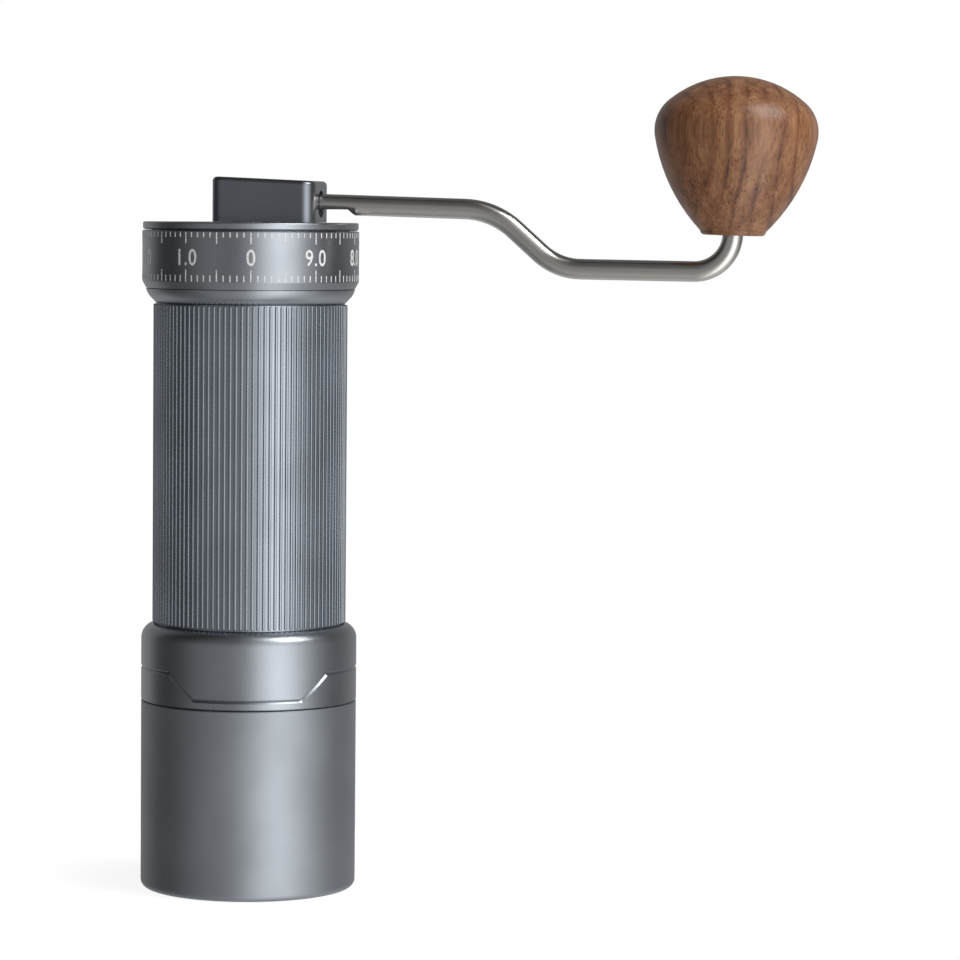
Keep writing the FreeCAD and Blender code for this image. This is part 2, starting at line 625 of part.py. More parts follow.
def burr_fixing():
    turned_body("burr_washer", ring(S.screw_radius + 0.1, S.washer_radius,
                                    S.axle_bottom - 0.05 - S.washer_height, S.axle_bottom - 0.05))
    head_top = S.axle_bottom - 0.1 - S.washer_height
    head_bottom = head_top - S.screw_head_height
    body = turned_body("burr_screw", [
        (0, head_bottom), (S.screw_head - 0.4, head_bottom), (S.screw_head, head_bottom + 0.4),
        (S.screw_head, head_top), (S.screw_radius, head_top),
        (S.screw_radius, S.axle_bottom + S.screw_length - 1), (0, S.axle_bottom + S.screw_length - 1)])
    sketch = new_sketch(body, "XY_Plane", "burr_screw_drive", head_bottom)
    half = S.screw_radius * 0.9
    outline(sketch, [(half, -half / 2), (half, half / 2), (0, half), (-half, half / 2), (-half, -half / 2),
                     (0, -half)])
    milled(body, "PartDesign::Pocket", "burr_screw_socket", sketch, S.screw_head_height - 0.6, True)


def preload():
    top = S.bridge_bottom - 0.1 - S.spring_washer_height
    turned_body("spring_washer", ring(S.axle_radius + 0.1, S.spring_washer_radius, top,
                                      top + S.spring_washer_height))
    coil = coil_spring("preload", S.spring_coil.value, S.spring_wire.value, S.spring_bottom.value,
                       top.value - 0.05, S.spring_turns.value)
    node(shape_feature("preload_spring", coil), "preload_spring")


# ---- hopper lid ----------------------------------------------------------------------------------------

def hopper_lid():
    turned_body("hopper_lid", [
        (S.lid_hole, S.lid_boss_bottom), (S.lid_boss, S.lid_boss_bottom), (S.lid_boss, S.lid_bottom),
        (S.plug_bore, S.lid_bottom), (S.plug_bore, S.plug_bottom), (S.plug_radius, S.plug_bottom),
        (S.plug_radius, S.seal_bottom), (S.seal_groove, S.seal_bottom), (S.seal_groove, S.seal_top),
        (S.plug_radius, S.seal_top), (S.plug_radius, S.lid_bottom),
        (S.lid_radius - S.lid_edge, S.lid_bottom),
        (S.lid_radius, S.lid_bottom + S.lid_edge), (S.lid_radius, S.lid_top - S.lid_edge),
        (S.lid_radius - S.lid_edge, S.lid_top, S.lid_edge), (S.lid_hole, S.lid_top)])
    seal = doc.addObject("Part::Torus", "lid_o_ring")
    bind(seal, Radius1=S.seal_centre, Radius2=S.seal_wire,
         Placement__Base__z=(S.seal_bottom + S.seal_top) / 2)
    node(seal, "lid_o_ring")
    turned_body("lid_bush", ring(S.bush_bore, S.bush_radius, S.bush_bottom, S.bush_top))


# ---- handle --------------------------------------------------------------------------------------------

def on_handle(obj):
    """Turns a handle part from the X axis to the handle's direction."""
    bind(obj, Placement__Rotation__Angle=S.handle_angle)
    return obj


def arm_point(across, height):
    return FreeCAD.Vector(across.value, 0, height.value)


def hub_block():
    body = on_handle(new_body("hub_block"))
    side = new_sketch(body, "XZ_Plane", "hub_side")
    outline(side, [(-S.hub_back, S.hub_bottom), (S.hub_front, S.hub_bottom), (S.hub_front, S.hub_front_top),
                   (-S.hub_back, S.hub_back_top)])
    block = body.newObject("PartDesign::Pad", "hub_pad")
    block.Profile = side
    block.Midplane = True
    bind(block, Length=S.hub_width)
    body.Tip = block
    doc.recompute()
    low, high = S.hub_bottom.value + 0.1, S.hub_front_top.value - 0.1
    for label, radius, chosen in (
            ("hub_corners", S.hub_corner, lambda box: box.ZMin < low and box.ZMax > high),
            ("hub_top_rounding", S.hub_top_edge, lambda box: box.ZMin > high)):
        before = body.Tip
        edges = [f"Edge{i}" for i, edge in enumerate(before.Shape.Edges, start=1)
                 if chosen(edge.BoundBox)]
        rounded = body.newObject("PartDesign::Fillet", label)
        rounded.Base = (before, edges)
        bind(rounded, Radius=radius)
        body.Tip = rounded
        doc.recompute()
    turned(body, "PartDesign::Groove", "hub_socket_hole",
           ring(Size.of(0), S.socket_hole, S.hub_bottom - 1, S.socket_top + 0.05))
    slope = math.atan2(S.arm_knee_height.value - S.arm_root_height.value,
                       S.arm_knee.value - S.hub_front.value)
    along = FreeCAD.Vector(math.cos(slope), 0, math.sin(slope))
    turn = FreeCAD.Rotation(FreeCAD.Vector(0, 0, 1), along)
    root = arm_point(S.hub_front, S.arm_root_height)
    bore = body.newObject("PartDesign::SubtractiveCylinder", "arm_bore")
    bind(bore, Radius=S.arm_hole, Height=S.hub_front)
    bore.Placement = FreeCAD.Placement(root - along * (S.hub_front.value - S.arm_start.value), turn)
    recess = body.newObject("PartDesign::SubtractiveCone", "arm_recess_cone")
    bind(recess, Radius1=S.arm_hole, Radius2=S.arm_recess, Height=S.arm_recess_depth)
    recess.Placement = FreeCAD.Placement(root - along * (S.arm_recess_depth.value - 0.4), turn)
    for place in (S.set_screw_near, S.set_screw_far):
        sketch = new_sketch(body, "XY_Plane", "set_screw_hole", S.hub_bottom)
        circle(sketch, place, 0, S.set_screw_hole)
        milled(body, "PartDesign::Pocket", "set_screw_hole_cut", sketch,
               S.arm_flat_height - S.hub_bottom, True)


def arm_set_screws():
    height = S.arm_flat_height - S.hub_bottom - 0.2
    pins = []
    for index, place in enumerate((S.set_screw_near, S.set_screw_far)):
        pins.append(cylinder(f"set_screw_{index}", S.set_screw_radius, height,
                             FreeCAD.Vector(place.value, 0, S.hub_bottom.value + 0.1)))
    node(on_handle(group("arm_set_screws", pins)), "arm_set_screws")


def hex_socket():
    blank = doc.addObject("PartDesign::Body", "hex_socket_blank")
    groove_bottom = S.hub_clip_top - S.hub_clip_height - 0.05
    turned(blank, "PartDesign::Revolution", "hex_socket_turned", [
        (0, S.socket_bottom), (S.socket_neck, S.socket_bottom), (S.socket_neck, groove_bottom),
        (S.hub_clip_groove, groove_bottom), (S.hub_clip_groove, S.hub_clip_top + 0.05),
        (S.socket_neck, S.hub_clip_top + 0.05), (S.socket_neck, S.socket_neck_top + 0.2),
        (S.socket_radius, S.socket_neck_top + 0.2), (S.socket_radius, S.socket_top),
        (0, S.socket_top)])
    drive = hexagon("hex_socket_cutter", S.socket_hex_radius, S.socket_hex_top - S.socket_bottom + 1,
                    S.socket_bottom - 1)
    node(cut("hex_socket", blank, drive), "hex_socket")
    clip("hub_clip", S.hub_clip_groove + 0.03, S.hub_clip_radius, S.hub_clip_top - S.hub_clip_height,
         S.hub_clip_height)


def bent_path(corners, bends):
    """Straight runs through the corners, joined by tangent arcs of the given radii."""
    edges, start = [], corners[0]
    for index, bend in enumerate(bends, start=1):
        corner, following = corners[index], corners[index + 1]
        incoming = (corner - corners[index - 1]).normalize()
        outgoing = (following - corner).normalize()
        turn = incoming.getAngle(outgoing)
        setback = bend * math.tan(turn / 2)
        arc_start, arc_end = corner - incoming * setback, corner + outgoing * setback
        bisector = (outgoing - incoming).normalize()
        middle = corner + bisector * (bend / math.cos(turn / 2) - bend)
        edges += [Part.LineSegment(start, arc_start).toShape(),
                  Part.Arc(arc_start, middle, arc_end).toShape()]
        start = arc_end
    edges.append(Part.LineSegment(start, corners[-1]).toShape())
    return Part.Wire(edges)


def knob_axis():
    """The knob's foot and the direction of its axis, before the handle is turned."""
    lean = math.radians(S.knob_lean.value)
    foot = arm_point(S.knob_centre, S.knob_foot_height)
    return foot, FreeCAD.Vector(math.sin(lean), 0, math.cos(lean))


def crank_arm():
    foot, up = knob_axis()
    root = arm_point(S.hub_front, S.arm_root_height)
    knee = arm_point(S.arm_knee, S.arm_knee_height)
    inward = (root - knee).normalize()
    start = root + inward * (S.hub_front.value - S.arm_start.value - 0.1)
    heel = foot - up * (S.knob_foot_height.value - S.arm_heel_height.value)
    corners = [start, knee, arm_point(S.arm_drop, S.arm_drop_height), heel, foot + up * S.spindle_top.value]
    path = bent_path(corners, [S.arm_knee_bend.value, S.arm_drop_bend.value, S.arm_heel_bend.value])
    section = Part.Wire(Part.Circle(start, inward, S.arm_radius.value).toShape())
    rod = path.makePipeShell([section], True, False)
    flat_top, flat_end = S.arm_flat_height.value, S.arm_flat_end.value
    depth = 2 * S.arm_radius.value
    flat = Part.makePolygon([
        FreeCAD.Vector(start.x - 1, -depth, flat_top), FreeCAD.Vector(flat_end, -depth, flat_top),
        FreeCAD.Vector(flat_end + depth, -depth, flat_top - depth),
        FreeCAD.Vector(start.x - 1, -depth, flat_top - depth),
        FreeCAD.Vector(start.x - 1, -depth, flat_top)])
    relief = Part.Face(flat).extrude(FreeCAD.Vector(0, 2 * depth, 0))
    groove_foot = foot + up * (S.knob_clip_bottom.value - 0.03)
    groove_height = S.knob_clip_height.value + 0.06
    groove = Part.makeCylinder(S.arm_radius.value + 0.5, groove_height, groove_foot, up).cut(
        Part.makeCylinder(S.spindle_groove.value, groove_height, groove_foot, up))
    arm = shape_feature("crank_arm", rod.cut(relief).cut(groove))
    node(on_handle(arm), "crank_arm")


# ---- knob ----------------------------------------------------------------------------------------------

def on_knob_axis(obj):
    """Stands a part, drawn about its own Z axis from the knob's foot, on the arm's spindle."""
    foot, up = knob_axis()
    handle = FreeCAD.Rotation(FreeCAD.Vector(0, 0, 1), S.handle_angle.value)
    stand = FreeCAD.Rotation(FreeCAD.Vector(0, 0, 1), up)
    obj.Placement = FreeCAD.Placement(handle.multVec(foot), handle.multiply(stand))
    return obj


def knob():
    rise = S.knob_height - S.knob_crown_height
    crown_bend = (S.knob_crown_radius * S.knob_crown_radius + rise * rise) / (rise * 2)
    on_knob_axis(turned_body("knob", [
        (S.knob_bore, 0), (S.knob_foot_radius, 0),
        (S.knob_waist_radius, S.knob_waist_height, S.knob_side_bend),
        (S.knob_crown_radius, S.knob_crown_height, S.knob_shoulder_bend),
        (0, S.knob_height, crown_bend), (0, S.knob_bore_depth),
        (S.knob_bore, S.knob_bore_depth)]))
    for name, bottom, length in (("knob_lower_bush", S.lower_bush_bottom, S.lower_bush_length),
                                 ("knob_upper_bush", S.upper_bush_bottom, S.upper_bush_length)):
        on_knob_axis(turned_body(name, ring(S.spindle_bore, S.bush_wall_radius, bottom, bottom + length)))
    on_knob_axis(clip("knob_clip", S.spindle_groove + 0.03, S.knob_clip_radius, S.knob_clip_bottom,
                      S.knob_clip_height))


# ---- assembly and files --------------------------------------------------------------------------------

def build():
    catch_cup()
    burr_housing()
    outer_burr()
    outer_burr_lock_ring()
    inner_burr()
    body_tube()
    grip_sleeve()
    top_collar()
    click_mechanism()
    dial_ring()
    detent_ring()
    dial_retaining_ring()
    bearing_carriage()
    lower_bridge()
    bearing("upper", S.carriage_bottom)
    bearing("lower", S.bridge_bottom + 0.5)
    axle()
    burr_fixing()
    preload()
    hopper_lid()
    hub_block()
    arm_set_screws()
    hex_socket()
    crank_arm()
    knob()


def check():
    """Stops the script if any object failed or any sub-part is empty or broken."""
    failed = [obj.Name for obj in doc.Objects if {"Invalid", "Error"} & set(obj.State)]
    if failed:
        raise RuntimeError(f"failed objects: {failed}")
    for part in NODES:
        if part.Shape.isNull() or not part.Shape.isValid() or not part.Shape.Solids:
            raise RuntimeError(f"{part.Label} has no valid shape")


def write():
    os.makedirs("parts", exist_ok=True)
    for part in NODES:
        part.Shape.exportStep(f"parts/{part.Label}.step")
        print(f"{part.Label:28s} solids {len(part.Shape.Solids):3d}  volume {part.Shape.Volume:10.1f}")


build()
doc.recompute()
check()
write()
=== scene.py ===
"""Looks of the hand crank coffee grinder.

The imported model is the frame. Its visible outer parts are rebuilt here at their own sizes with true edge
breaks, grip ribs, dial marks, an engraved line and a turned walnut knob, and every inner part that shows
when the grinder is opened gets its finish.
"""

import json
import logging
from dataclasses import dataclass, field
from enum import Enum
from math import atan2, copysign, cos, degrees, hypot, pi, radians, sin, sqrt, tan
from typing import Callable, ClassVar, Iterable, Sequence

import bmesh
import bpy
from mathutils import Matrix, Vector


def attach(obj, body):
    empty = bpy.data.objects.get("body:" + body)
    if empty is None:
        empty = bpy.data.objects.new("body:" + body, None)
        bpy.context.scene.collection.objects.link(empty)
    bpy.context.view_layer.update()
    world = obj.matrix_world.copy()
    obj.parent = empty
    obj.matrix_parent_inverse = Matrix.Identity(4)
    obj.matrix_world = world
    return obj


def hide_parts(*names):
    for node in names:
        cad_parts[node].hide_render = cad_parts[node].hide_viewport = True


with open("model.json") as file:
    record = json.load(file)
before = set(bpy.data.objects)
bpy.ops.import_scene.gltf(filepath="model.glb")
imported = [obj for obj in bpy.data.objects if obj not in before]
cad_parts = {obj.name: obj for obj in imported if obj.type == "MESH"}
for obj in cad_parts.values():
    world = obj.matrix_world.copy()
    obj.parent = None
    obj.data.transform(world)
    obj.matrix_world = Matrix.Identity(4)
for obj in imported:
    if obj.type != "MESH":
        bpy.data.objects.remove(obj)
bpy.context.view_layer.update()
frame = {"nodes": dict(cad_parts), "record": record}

LOG = logging.getLogger("grinder")
MM = 0.001
TURN = 2 * pi
ROUND = 192  # columns of a turned part
SAME_POINT = 0.0005 * MM  # points closer than this are one
ON_AXIS = 1e-9  # points nearer the axis than this lie on it
CRISP_DEG = 32.0  # edges that turn more than this stay crisp
ARM_HEADING_DEG = -13.7  # the arm's direction round the barrel, from +X
SPINDLE_LEAN_DEG = 1.2
SPINDLE_FOOT = (129.75, 176.9)  # where the spindle leaves the knob: reach and height

Point = tuple[float, float]
Place = tuple[float, float, float]
Colour = tuple[float, float, float, float]
Material, Mesh, Object = bpy.types.Material, bpy.types.Mesh, bpy.types.Object
Node, Socket, Tree = bpy.types.Node, bpy.types.NodeSocket, bpy.types.NodeTree


# ---- colours and shader nodes ----

def linear(hex_colour: str) -> Colour:
    """Turns an sRGB hex colour into the linear colour that a shader takes.

    Args:
        hex_colour: six hex digits, such as "8a9096".

    Returns:
        Linear red, green, blue and an alpha of 1.
    """
    parts = [int(hex_colour[i:i + 2], 16) / 255 for i in (0, 2, 4)]
    values = [c / 12.92 if c <= 0.04045 else ((c + 0.055) / 1.055) ** 2.4 for c in parts]
    return (*values, 1.0)


def set_up(tree: Tree, node: Node, given: dict) -> None:
    """Fills in a node.

    Args:
        tree: the node's tree.
        node: the node to fill in.
        given: attribute names, or input names or numbers, each with its value or the socket that
            feeds it.
    """
    for key, value in given.items():
        if isinstance(value, Socket):
            tree.links.new(value, node.inputs[key])
        elif isinstance(key, str) and hasattr(node, key):
            setattr(node, key, value)
        else:
            node.inputs[key].default_value = value


def add(tree: Tree, kind: str, given: dict | None = None) -> Node:
    """Adds one node of a kind, filled in as set_up does."""
    node = tree.nodes.new(kind)
    set_up(tree, node, given or {})
    return node


def maths(tree: Tree, operation: str, *values: float | Socket) -> Socket:
    """A maths node's result, from numbers or sockets in the order of its inputs."""
    return add(tree, "ShaderNodeMath", {"operation": operation, **dict(enumerate(values))}).outputs[0]


def noise(tree: Tree, place: Socket, scale: float, detail: float, roughness: float = 0.5) -> Socket:
    """Soft noise between 0 and 1 at a place."""
    return add(tree, "ShaderNodeTexNoise", {"Scale": scale, "Detail": detail, "Roughness": roughness,
                                            "Vector": place}).outputs["Fac"]


def mapped(tree: Tree, factor: Socket, source: Point, target: Point) -> Socket:
    """A factor carried from one range to another and held inside it."""
    return add(tree, "ShaderNodeMapRange", {0: factor, 1: source[0], 2: source[1], 3: target[0],
                                            4: target[1]}).outputs[0]


def mixed(tree: Tree, share: float | Socket, first: Colour | Socket, second: Colour | Socket,
          blend: str = "MIX") -> Socket:
    """Two colours mixed by a share of the second."""
    return add(tree, "ShaderNodeMix", {"data_type": "RGBA", "blend_type": blend, 0: share, 6: first,
                                       7: second}).outputs[2]


def stretched(tree: Tree, place: Socket, scale: Place) -> Socket:
    """A place scaled along each axis."""
    return add(tree, "ShaderNodeMapping", {"Scale": scale, "Vector": place}).outputs[0]


def relief(tree: Tree, height: Socket, strength: float, depth_mm: float = 0.02) -> Socket:
    """The surface direction of a pattern that stands out by a depth."""
    return add(tree, "ShaderNodeBump", {"Strength": strength, "Distance": depth_mm * MM,
                                        "Height": height}).outputs[0]


def object_place(tree: Tree) -> Socket:
    """The place of a point in its object's own frame, in metres."""
    return add(tree, "ShaderNodeTexCoord").outputs["Object"]


def ramp(tree: Tree, factor: Socket, stops: Sequence[tuple[float, Colour]]) -> Socket:
    """Feeds a factor through a colour ramp.

    Args:
        tree: the node tree to add to.
        factor: the value to look up.
        stops: (position, colour) pairs in rising order.

    Returns:
        The ramp's colour socket.
    """
    node = add(tree, "ShaderNodeValToRGB", {0: factor})
    elements = node.color_ramp.elements
    elements.remove(elements[1])
    elements[0].position, elements[0].color = stops[0]
    for position, colour in stops[1:]:
        elements.new(position).color = colour
    return node.outputs[0]


def grey(value: float) -> Colour:
    """A linear grey."""
    return (value, value, value, 1.0)


def greys(tree: Tree, factor: Socket, stops: Iterable[Point]) -> Socket:
    """A ramp of greys from (position, value) pairs."""
    return ramp(tree, factor, [(position, grey(value)) for position, value in stops])


def shaded(colour: Colour, share: float) -> Colour:
    """A linear colour made darker or lighter."""
    return (*(min(1.0, part * share) for part in colour[:3]), 1.0)


@dataclass(frozen=True)
class Finish:
    """A surface finish: one material, made once and shared by the pieces that have it.

    Each kind of finish adds its own pattern. The pattern's middle is the part of a noise's range where
    most of it lies, and the dark share is how dark the base colour gets in the pattern's low parts.
    """

    name: str
    colour: str
    roughness: float

    middle: ClassVar[Point] = (0.3, 0.7)

    def material(self) -> Material:
        """The finish as a material."""
        made = bpy.data.materials.get(self.name)
        if made is None:
            made = bpy.data.materials.new(self.name)
            made.use_nodes = True
            tree = made.node_tree
            set_up(tree, tree.nodes["Principled BSDF"], {"Roughness": self.roughness, **self.pattern(tree)})
        return made

    def pattern(self, tree: Tree) -> dict:
        """The shader's inputs that this kind of finish sets, each with its value or socket."""
        return {"Base Color": linear(self.colour)}

    def tone(self, tree: Tree, factor: Socket, dark_share: float, middle: Point) -> Socket:
        """The base colour, darker where a pattern is low."""
        base = linear(self.colour)
        return ramp(tree, factor, [(middle[0], shaded(base, dark_share)), (middle[1], base)])

    def gloss(self, tree: Tree, factor: Socket, less: float, more: float) -> Socket:
        """The roughness, wavering with a pattern."""
        return mapped(tree, factor, self.middle, (self.roughness - less, self.roughness + more))


@dataclass(frozen=True)
class Anodising(Finish):
    """Bead-blasted, anodised aluminium: a satin metal with a fine pebbled grain and no direction.

    The real grain of about 0.1 mm is too fine to show, so it is drawn at the grit size given.
    """

    grit_mm: float = 0.28
    grain_depth: float = 0.10
    drift_per_m: float = 55.0
    drift_middle: Point = (0.35, 0.65)
    drift_shades: Point = (0.93, 1.06)
    speckle_grey: float = 0.92
    speckle_share: float = 0.7
    gloss_spread: float = 0.04

    def pattern(self, tree: Tree) -> dict:
        """Grey oxide with slight shade drift, broken up by the blasted grain."""
        place = object_place(tree)
        grain = noise(tree, place, 1 / (self.grit_mm * MM), detail=3.0, roughness=0.6)
        drift = noise(tree, place, self.drift_per_m, detail=2.0)
        shades = [shaded(linear(self.colour), share) for share in self.drift_shades]
        tone = ramp(tree, drift, list(zip(self.drift_middle, shades)))
        speckle = greys(tree, grain, zip(self.middle, (self.speckle_grey, 1.0)))
        return {"Base Color": mixed(tree, self.speckle_share, tone, speckle, "MULTIPLY"),
                "Metallic": 1.0, "Roughness": self.gloss(tree, grain, self.gloss_spread, self.gloss_spread),
                "Normal": relief(tree, grain, self.grain_depth)}


@dataclass(frozen=True)
class MachinedMetal(Finish):
    """Turned or ground metal: fine rings about the grinding axis left by the tool.

    The tool marks of about 0.1 mm are drawn at the feed given, so that they show.
    """

    feed_mm: float = 0.4
    mark_depth: float = 0.15
    dark_share: float = 0.88

    def pattern(self, tree: Tree) -> dict:
        """Bright metal with thin lines that run round the axis."""
        x, y, z = add(tree, "ShaderNodeSeparateXYZ", {0: object_place(tree)}).outputs
        squares = maths(tree, "ADD", maths(tree, "MULTIPLY", x, x), maths(tree, "MULTIPLY", y, y))
        radius = maths(tree, "SQRT", squares)
        where = add(tree, "ShaderNodeCombineXYZ", {0: radius, 2: z}).outputs[0]
        marks = noise(tree, where, 1 / (self.feed_mm * MM), detail=2.0)
        return {"Base Color": self.tone(tree, marks, self.dark_share, self.middle), "Metallic": 1.0,
                "Normal": relief(tree, marks, self.mark_depth)}


@dataclass(frozen=True)
class DrawnRod(Finish):
    """Polished stainless rod: near mirror, with faint streaks along the drawing direction."""

    streak_mm: float = 0.3
    streak_stretch: Place = (0.08, 1.0, 1.0)
    smear_per_m: float = 90.0
    dark_share: float = 0.9
    gloss_spread: Point = (0.03, 0.05)

    def pattern(self, tree: Tree) -> dict:
        """Pale steel whose gloss wavers a little along thin streaks."""
        place = object_place(tree)
        along = stretched(tree, place, self.streak_stretch)
        streak = noise(tree, along, 1 / (self.streak_mm * MM), detail=3.0)
        smear = noise(tree, place, self.smear_per_m, detail=2.0)
        return {"Base Color": self.tone(tree, smear, self.dark_share, self.middle), "Metallic": 1.0,
                "Roughness": self.gloss(tree, streak, *self.gloss_spread)}


@dataclass(frozen=True)
class MouldedPlastic(Finish):
    """Moulded plastic or rubber: a dull skin with a very fine texture from the mould."""

    texture_mm: float = 0.25
    texture_depth: float = 0.2
    dark_share: float = 0.85

    def pattern(self, tree: Tree) -> dict:
        """One colour, with a spark-eroded texture in its shade and bump."""
        skin = noise(tree, object_place(tree), 1 / (self.texture_mm * MM), detail=2.0)
        return {"Base Color": self.tone(tree, skin, self.dark_share, self.middle),
                "Normal": relief(tree, skin, self.texture_depth)}


@dataclass(frozen=True)
class MarkingPaint(Finish):
    """Off-white enamel filled into the dial's marks: matt, slightly worn at its edges."""

    wear_per_m: float = 1400.0
    worn_share: float = 0.72
    worn: Point = (0.36, 0.52)

    def pattern(self, tree: Tree) -> dict:
        """Pale paint that is a little greyer in patches where it has rubbed."""
        wear = noise(tree, object_place(tree), self.wear_per_m, detail=3.0)
        return {"Base Color": self.tone(tree, wear, self.worn_share, self.worn)}


@dataclass(frozen=True)
class OiledWalnut(Finish):
    """Turned and oiled walnut: warm brown with upright growth lines, fine fibre and short dark pores.

    The oil closes the surface to a satin, so the pores show as dark dashes with a soft sheen over them.
    The blank's own frame has the wood's length along Z; scales are noise cells per metre along its axes.
    """

    centre: Place
    heading_deg: float
    lean_deg: float
    dark: str = "43261a"
    light: str = "b48560"
    ring_mm: float = 5.2
    ring_slant: float = 0.35
    first_ring: float = 20.0
    sway_scale: Place = (45.0, 45.0, 26.0)
    sway: float = 2.2
    fibre_scale: Place = (1500.0, 1500.0, 60.0)
    fibre_sway: float = 0.22
    growth: tuple[Point, ...] = ((0.0, 0.30), (0.07, 0.58), (0.35, 0.72), (0.75, 0.64), (0.93, 0.44),
                                 (1.0, 0.28))
    between_grey: float = 0.62
    presence_scale: Place = (170.0, 170.0, 45.0)
    presence: tuple[Point, Point] = ((0.38, 0.62), (0.1, 0.95))
    stripe_scale: Place = (330.0, 330.0, 20.0)
    stripe_weight: float = 0.9
    grain_weight: float = 0.7
    grain_offset: float = -0.67
    tones: Place = (0.2, 0.58, 0.95)
    pore_scale: Place = (1250.0, 1250.0, 420.0)
    pore_patches_per_m: float = 150.0
    pore_size: tuple[Point, Point] = ((0.42, 0.6), (0.1, 0.3))
    pore_darkness: float = 0.6
    gloss_spread: float = 0.06
    relief_strength: float = 0.25
    relief_mm: float = 0.06

    def streaks(self, tree: Tree, blank: Socket, scale: Place, detail: float,
                roughness: float = 0.5) -> Socket:
        """Noise drawn out along the wood's length."""
        return noise(tree, stretched(tree, blank, scale), 1.0, detail, roughness)

    def shade(self, tree: Tree, blank: Socket, fibre: Socket) -> Socket:
        """Growth rings cut lengthwise, that sway and come and go, with fibre streaks along them.

        Args:
            tree: the material's tree.
            blank: the place in the blank's own frame.
            fibre: the fine fibre's noise.

        Returns:
            The shade, to be looked up among the wood's tones.
        """
        x, y, _ = add(tree, "ShaderNodeSeparateXYZ", {0: blank}).outputs
        wander = self.streaks(tree, blank, self.sway_scale, 2.0, 0.45)
        across = maths(tree, "MULTIPLY_ADD", x, 1 / (self.ring_mm * MM), self.first_ring)
        depth = maths(tree, "MULTIPLY_ADD", y, self.ring_slant / (self.ring_mm * MM), across)
        bent = maths(tree, "MULTIPLY_ADD", wander, self.sway, depth)
        ring = maths(tree, "FRACT", maths(tree, "MULTIPLY_ADD", fibre, self.fibre_sway, bent))
        presence = self.streaks(tree, blank, self.presence_scale, 2.0)
        lines = mixed(tree, mapped(tree, presence, *self.presence), grey(self.between_grey),
                      greys(tree, ring, self.growth))
        stripe = self.streaks(tree, blank, self.stripe_scale, 3.0)
        streak = maths(tree, "MULTIPLY_ADD", stripe, self.stripe_weight, fibre)
        grain = maths(tree, "MULTIPLY_ADD", streak, self.grain_weight, self.grain_offset)
        return maths(tree, "ADD", grain, lines)

    def pores(self, tree: Tree, blank: Socket) -> Socket:
        """1 in the short open pores and 0 between them; they crowd together in patches."""
        cells = add(tree, "ShaderNodeTexVoronoi", {"Scale": 1.0, "Randomness": 1.0,
                                                   "Vector": stretched(tree, blank, self.pore_scale)})
        patches = noise(tree, blank, self.pore_patches_per_m, detail=1.0)
        size = mapped(tree, patches, *self.pore_size)
        return maths(tree, "LESS_THAN", cells.outputs["Distance"], size)

    def pattern(self, tree: Tree) -> dict:
        """The shade of the grain and the pores over it, in the blank's own frame."""
        blank = add(tree, "ShaderNodeMapping", {
            "vector_type": "TEXTURE", "Location": self.centre, "Vector": object_place(tree),
            "Rotation": (0.0, radians(self.lean_deg), radians(self.heading_deg))}).outputs[0]
        fibre = self.streaks(tree, blank, self.fibre_scale, 4.0, 0.6)
        colours = (linear(self.dark), linear(self.colour), linear(self.light))
        wood = ramp(tree, self.shade(tree, blank, fibre), list(zip(self.tones, colours)))
        pore = self.pores(tree, blank)
        pore_share = maths(tree, "MULTIPLY", pore, self.pore_darkness)
        height = maths(tree, "SUBTRACT", fibre, pore)
        return {"Base Color": mixed(tree, pore_share, wood, linear(self.dark)),
                "Roughness": self.gloss(tree, fibre, self.gloss_spread, self.gloss_spread),
                "Normal": relief(tree, height, self.relief_strength, self.relief_mm)}


class Look(Enum):
    """Every finish on the grinder."""

    BODY = Anodising("blasted_anodised_body", "a0a5ab", 0.31, grain_depth=0.06)
    CUP = Anodising("blasted_anodised_cup", "a2a7ad", 0.48, grain_depth=0.06)
    DIAL = Anodising("blasted_anodised_dial", "989ca2", 0.25, grain_depth=0.06)
    RIBS = Anodising("anodised_grip_ribs", "9aa0a8", 0.27, grit_mm=0.35, grain_depth=0.02)
    HUB = Anodising("blasted_anodised_hub", "848890", 0.27, grain_depth=0.04)
    TUBE = MachinedMetal("brushed_tube_steel", "b9b9b9", 0.32)
    BRIDGE = MachinedMetal("machined_bridge_aluminium", "c9cacc", 0.30)
    BURR = MachinedMetal("ground_burr_steel", "a8a8aa", 0.28)
    BEARING = MachinedMetal("ground_bearing_steel", "d2d2d4", 0.12)
    BRASS = MachinedMetal("stamped_brass", "c9a24f", 0.30)
    SPRING = MachinedMetal("drawn_spring_steel", "98989c", 0.28)
    FASTENER = MachinedMetal("turned_fastener_steel", "b0b0b2", 0.25)
    NICKEL = MachinedMetal("nickel_plated_magnet", "c8c6c0", 0.15)
    ROD = DrawnRod("polished_stainless_rod", "d0cdc8", 0.17)
    RUBBER = MouldedPlastic("seal_rubber", "1b1b1c", 0.62)
    BUSH = MouldedPlastic("acetal_bush", "2b2b2d", 0.42)
    PAINT = MarkingPaint("dial_marking_paint", "e6e7e6", 0.55)

    def material(self) -> Material:
        """The finish's material."""
        return self.value.material()


# ---- mesh work ----

def linked(name: str, data: bpy.types.ID) -> Object:
    """A new object in the scene."""
    obj = bpy.data.objects.new(name, data)
    bpy.context.scene.collection.objects.link(obj)
    return obj


def mesh_of(name: str, verts: Sequence[Place], faces: Sequence[tuple[int, ...]]) -> Mesh:
    """A new mesh from its points and faces."""
    mesh = bpy.data.meshes.new(name)
    mesh.from_pydata(verts, [], faces)
    return mesh


def evaluated(obj: Object) -> Mesh:
    """The plain mesh that an object's text or modifiers make; the object is used up."""
    bpy.context.view_layer.update()
    mesh = bpy.data.meshes.new_from_object(obj.evaluated_get(bpy.context.evaluated_depsgraph_get()))
    bpy.data.objects.remove(obj)
    return mesh


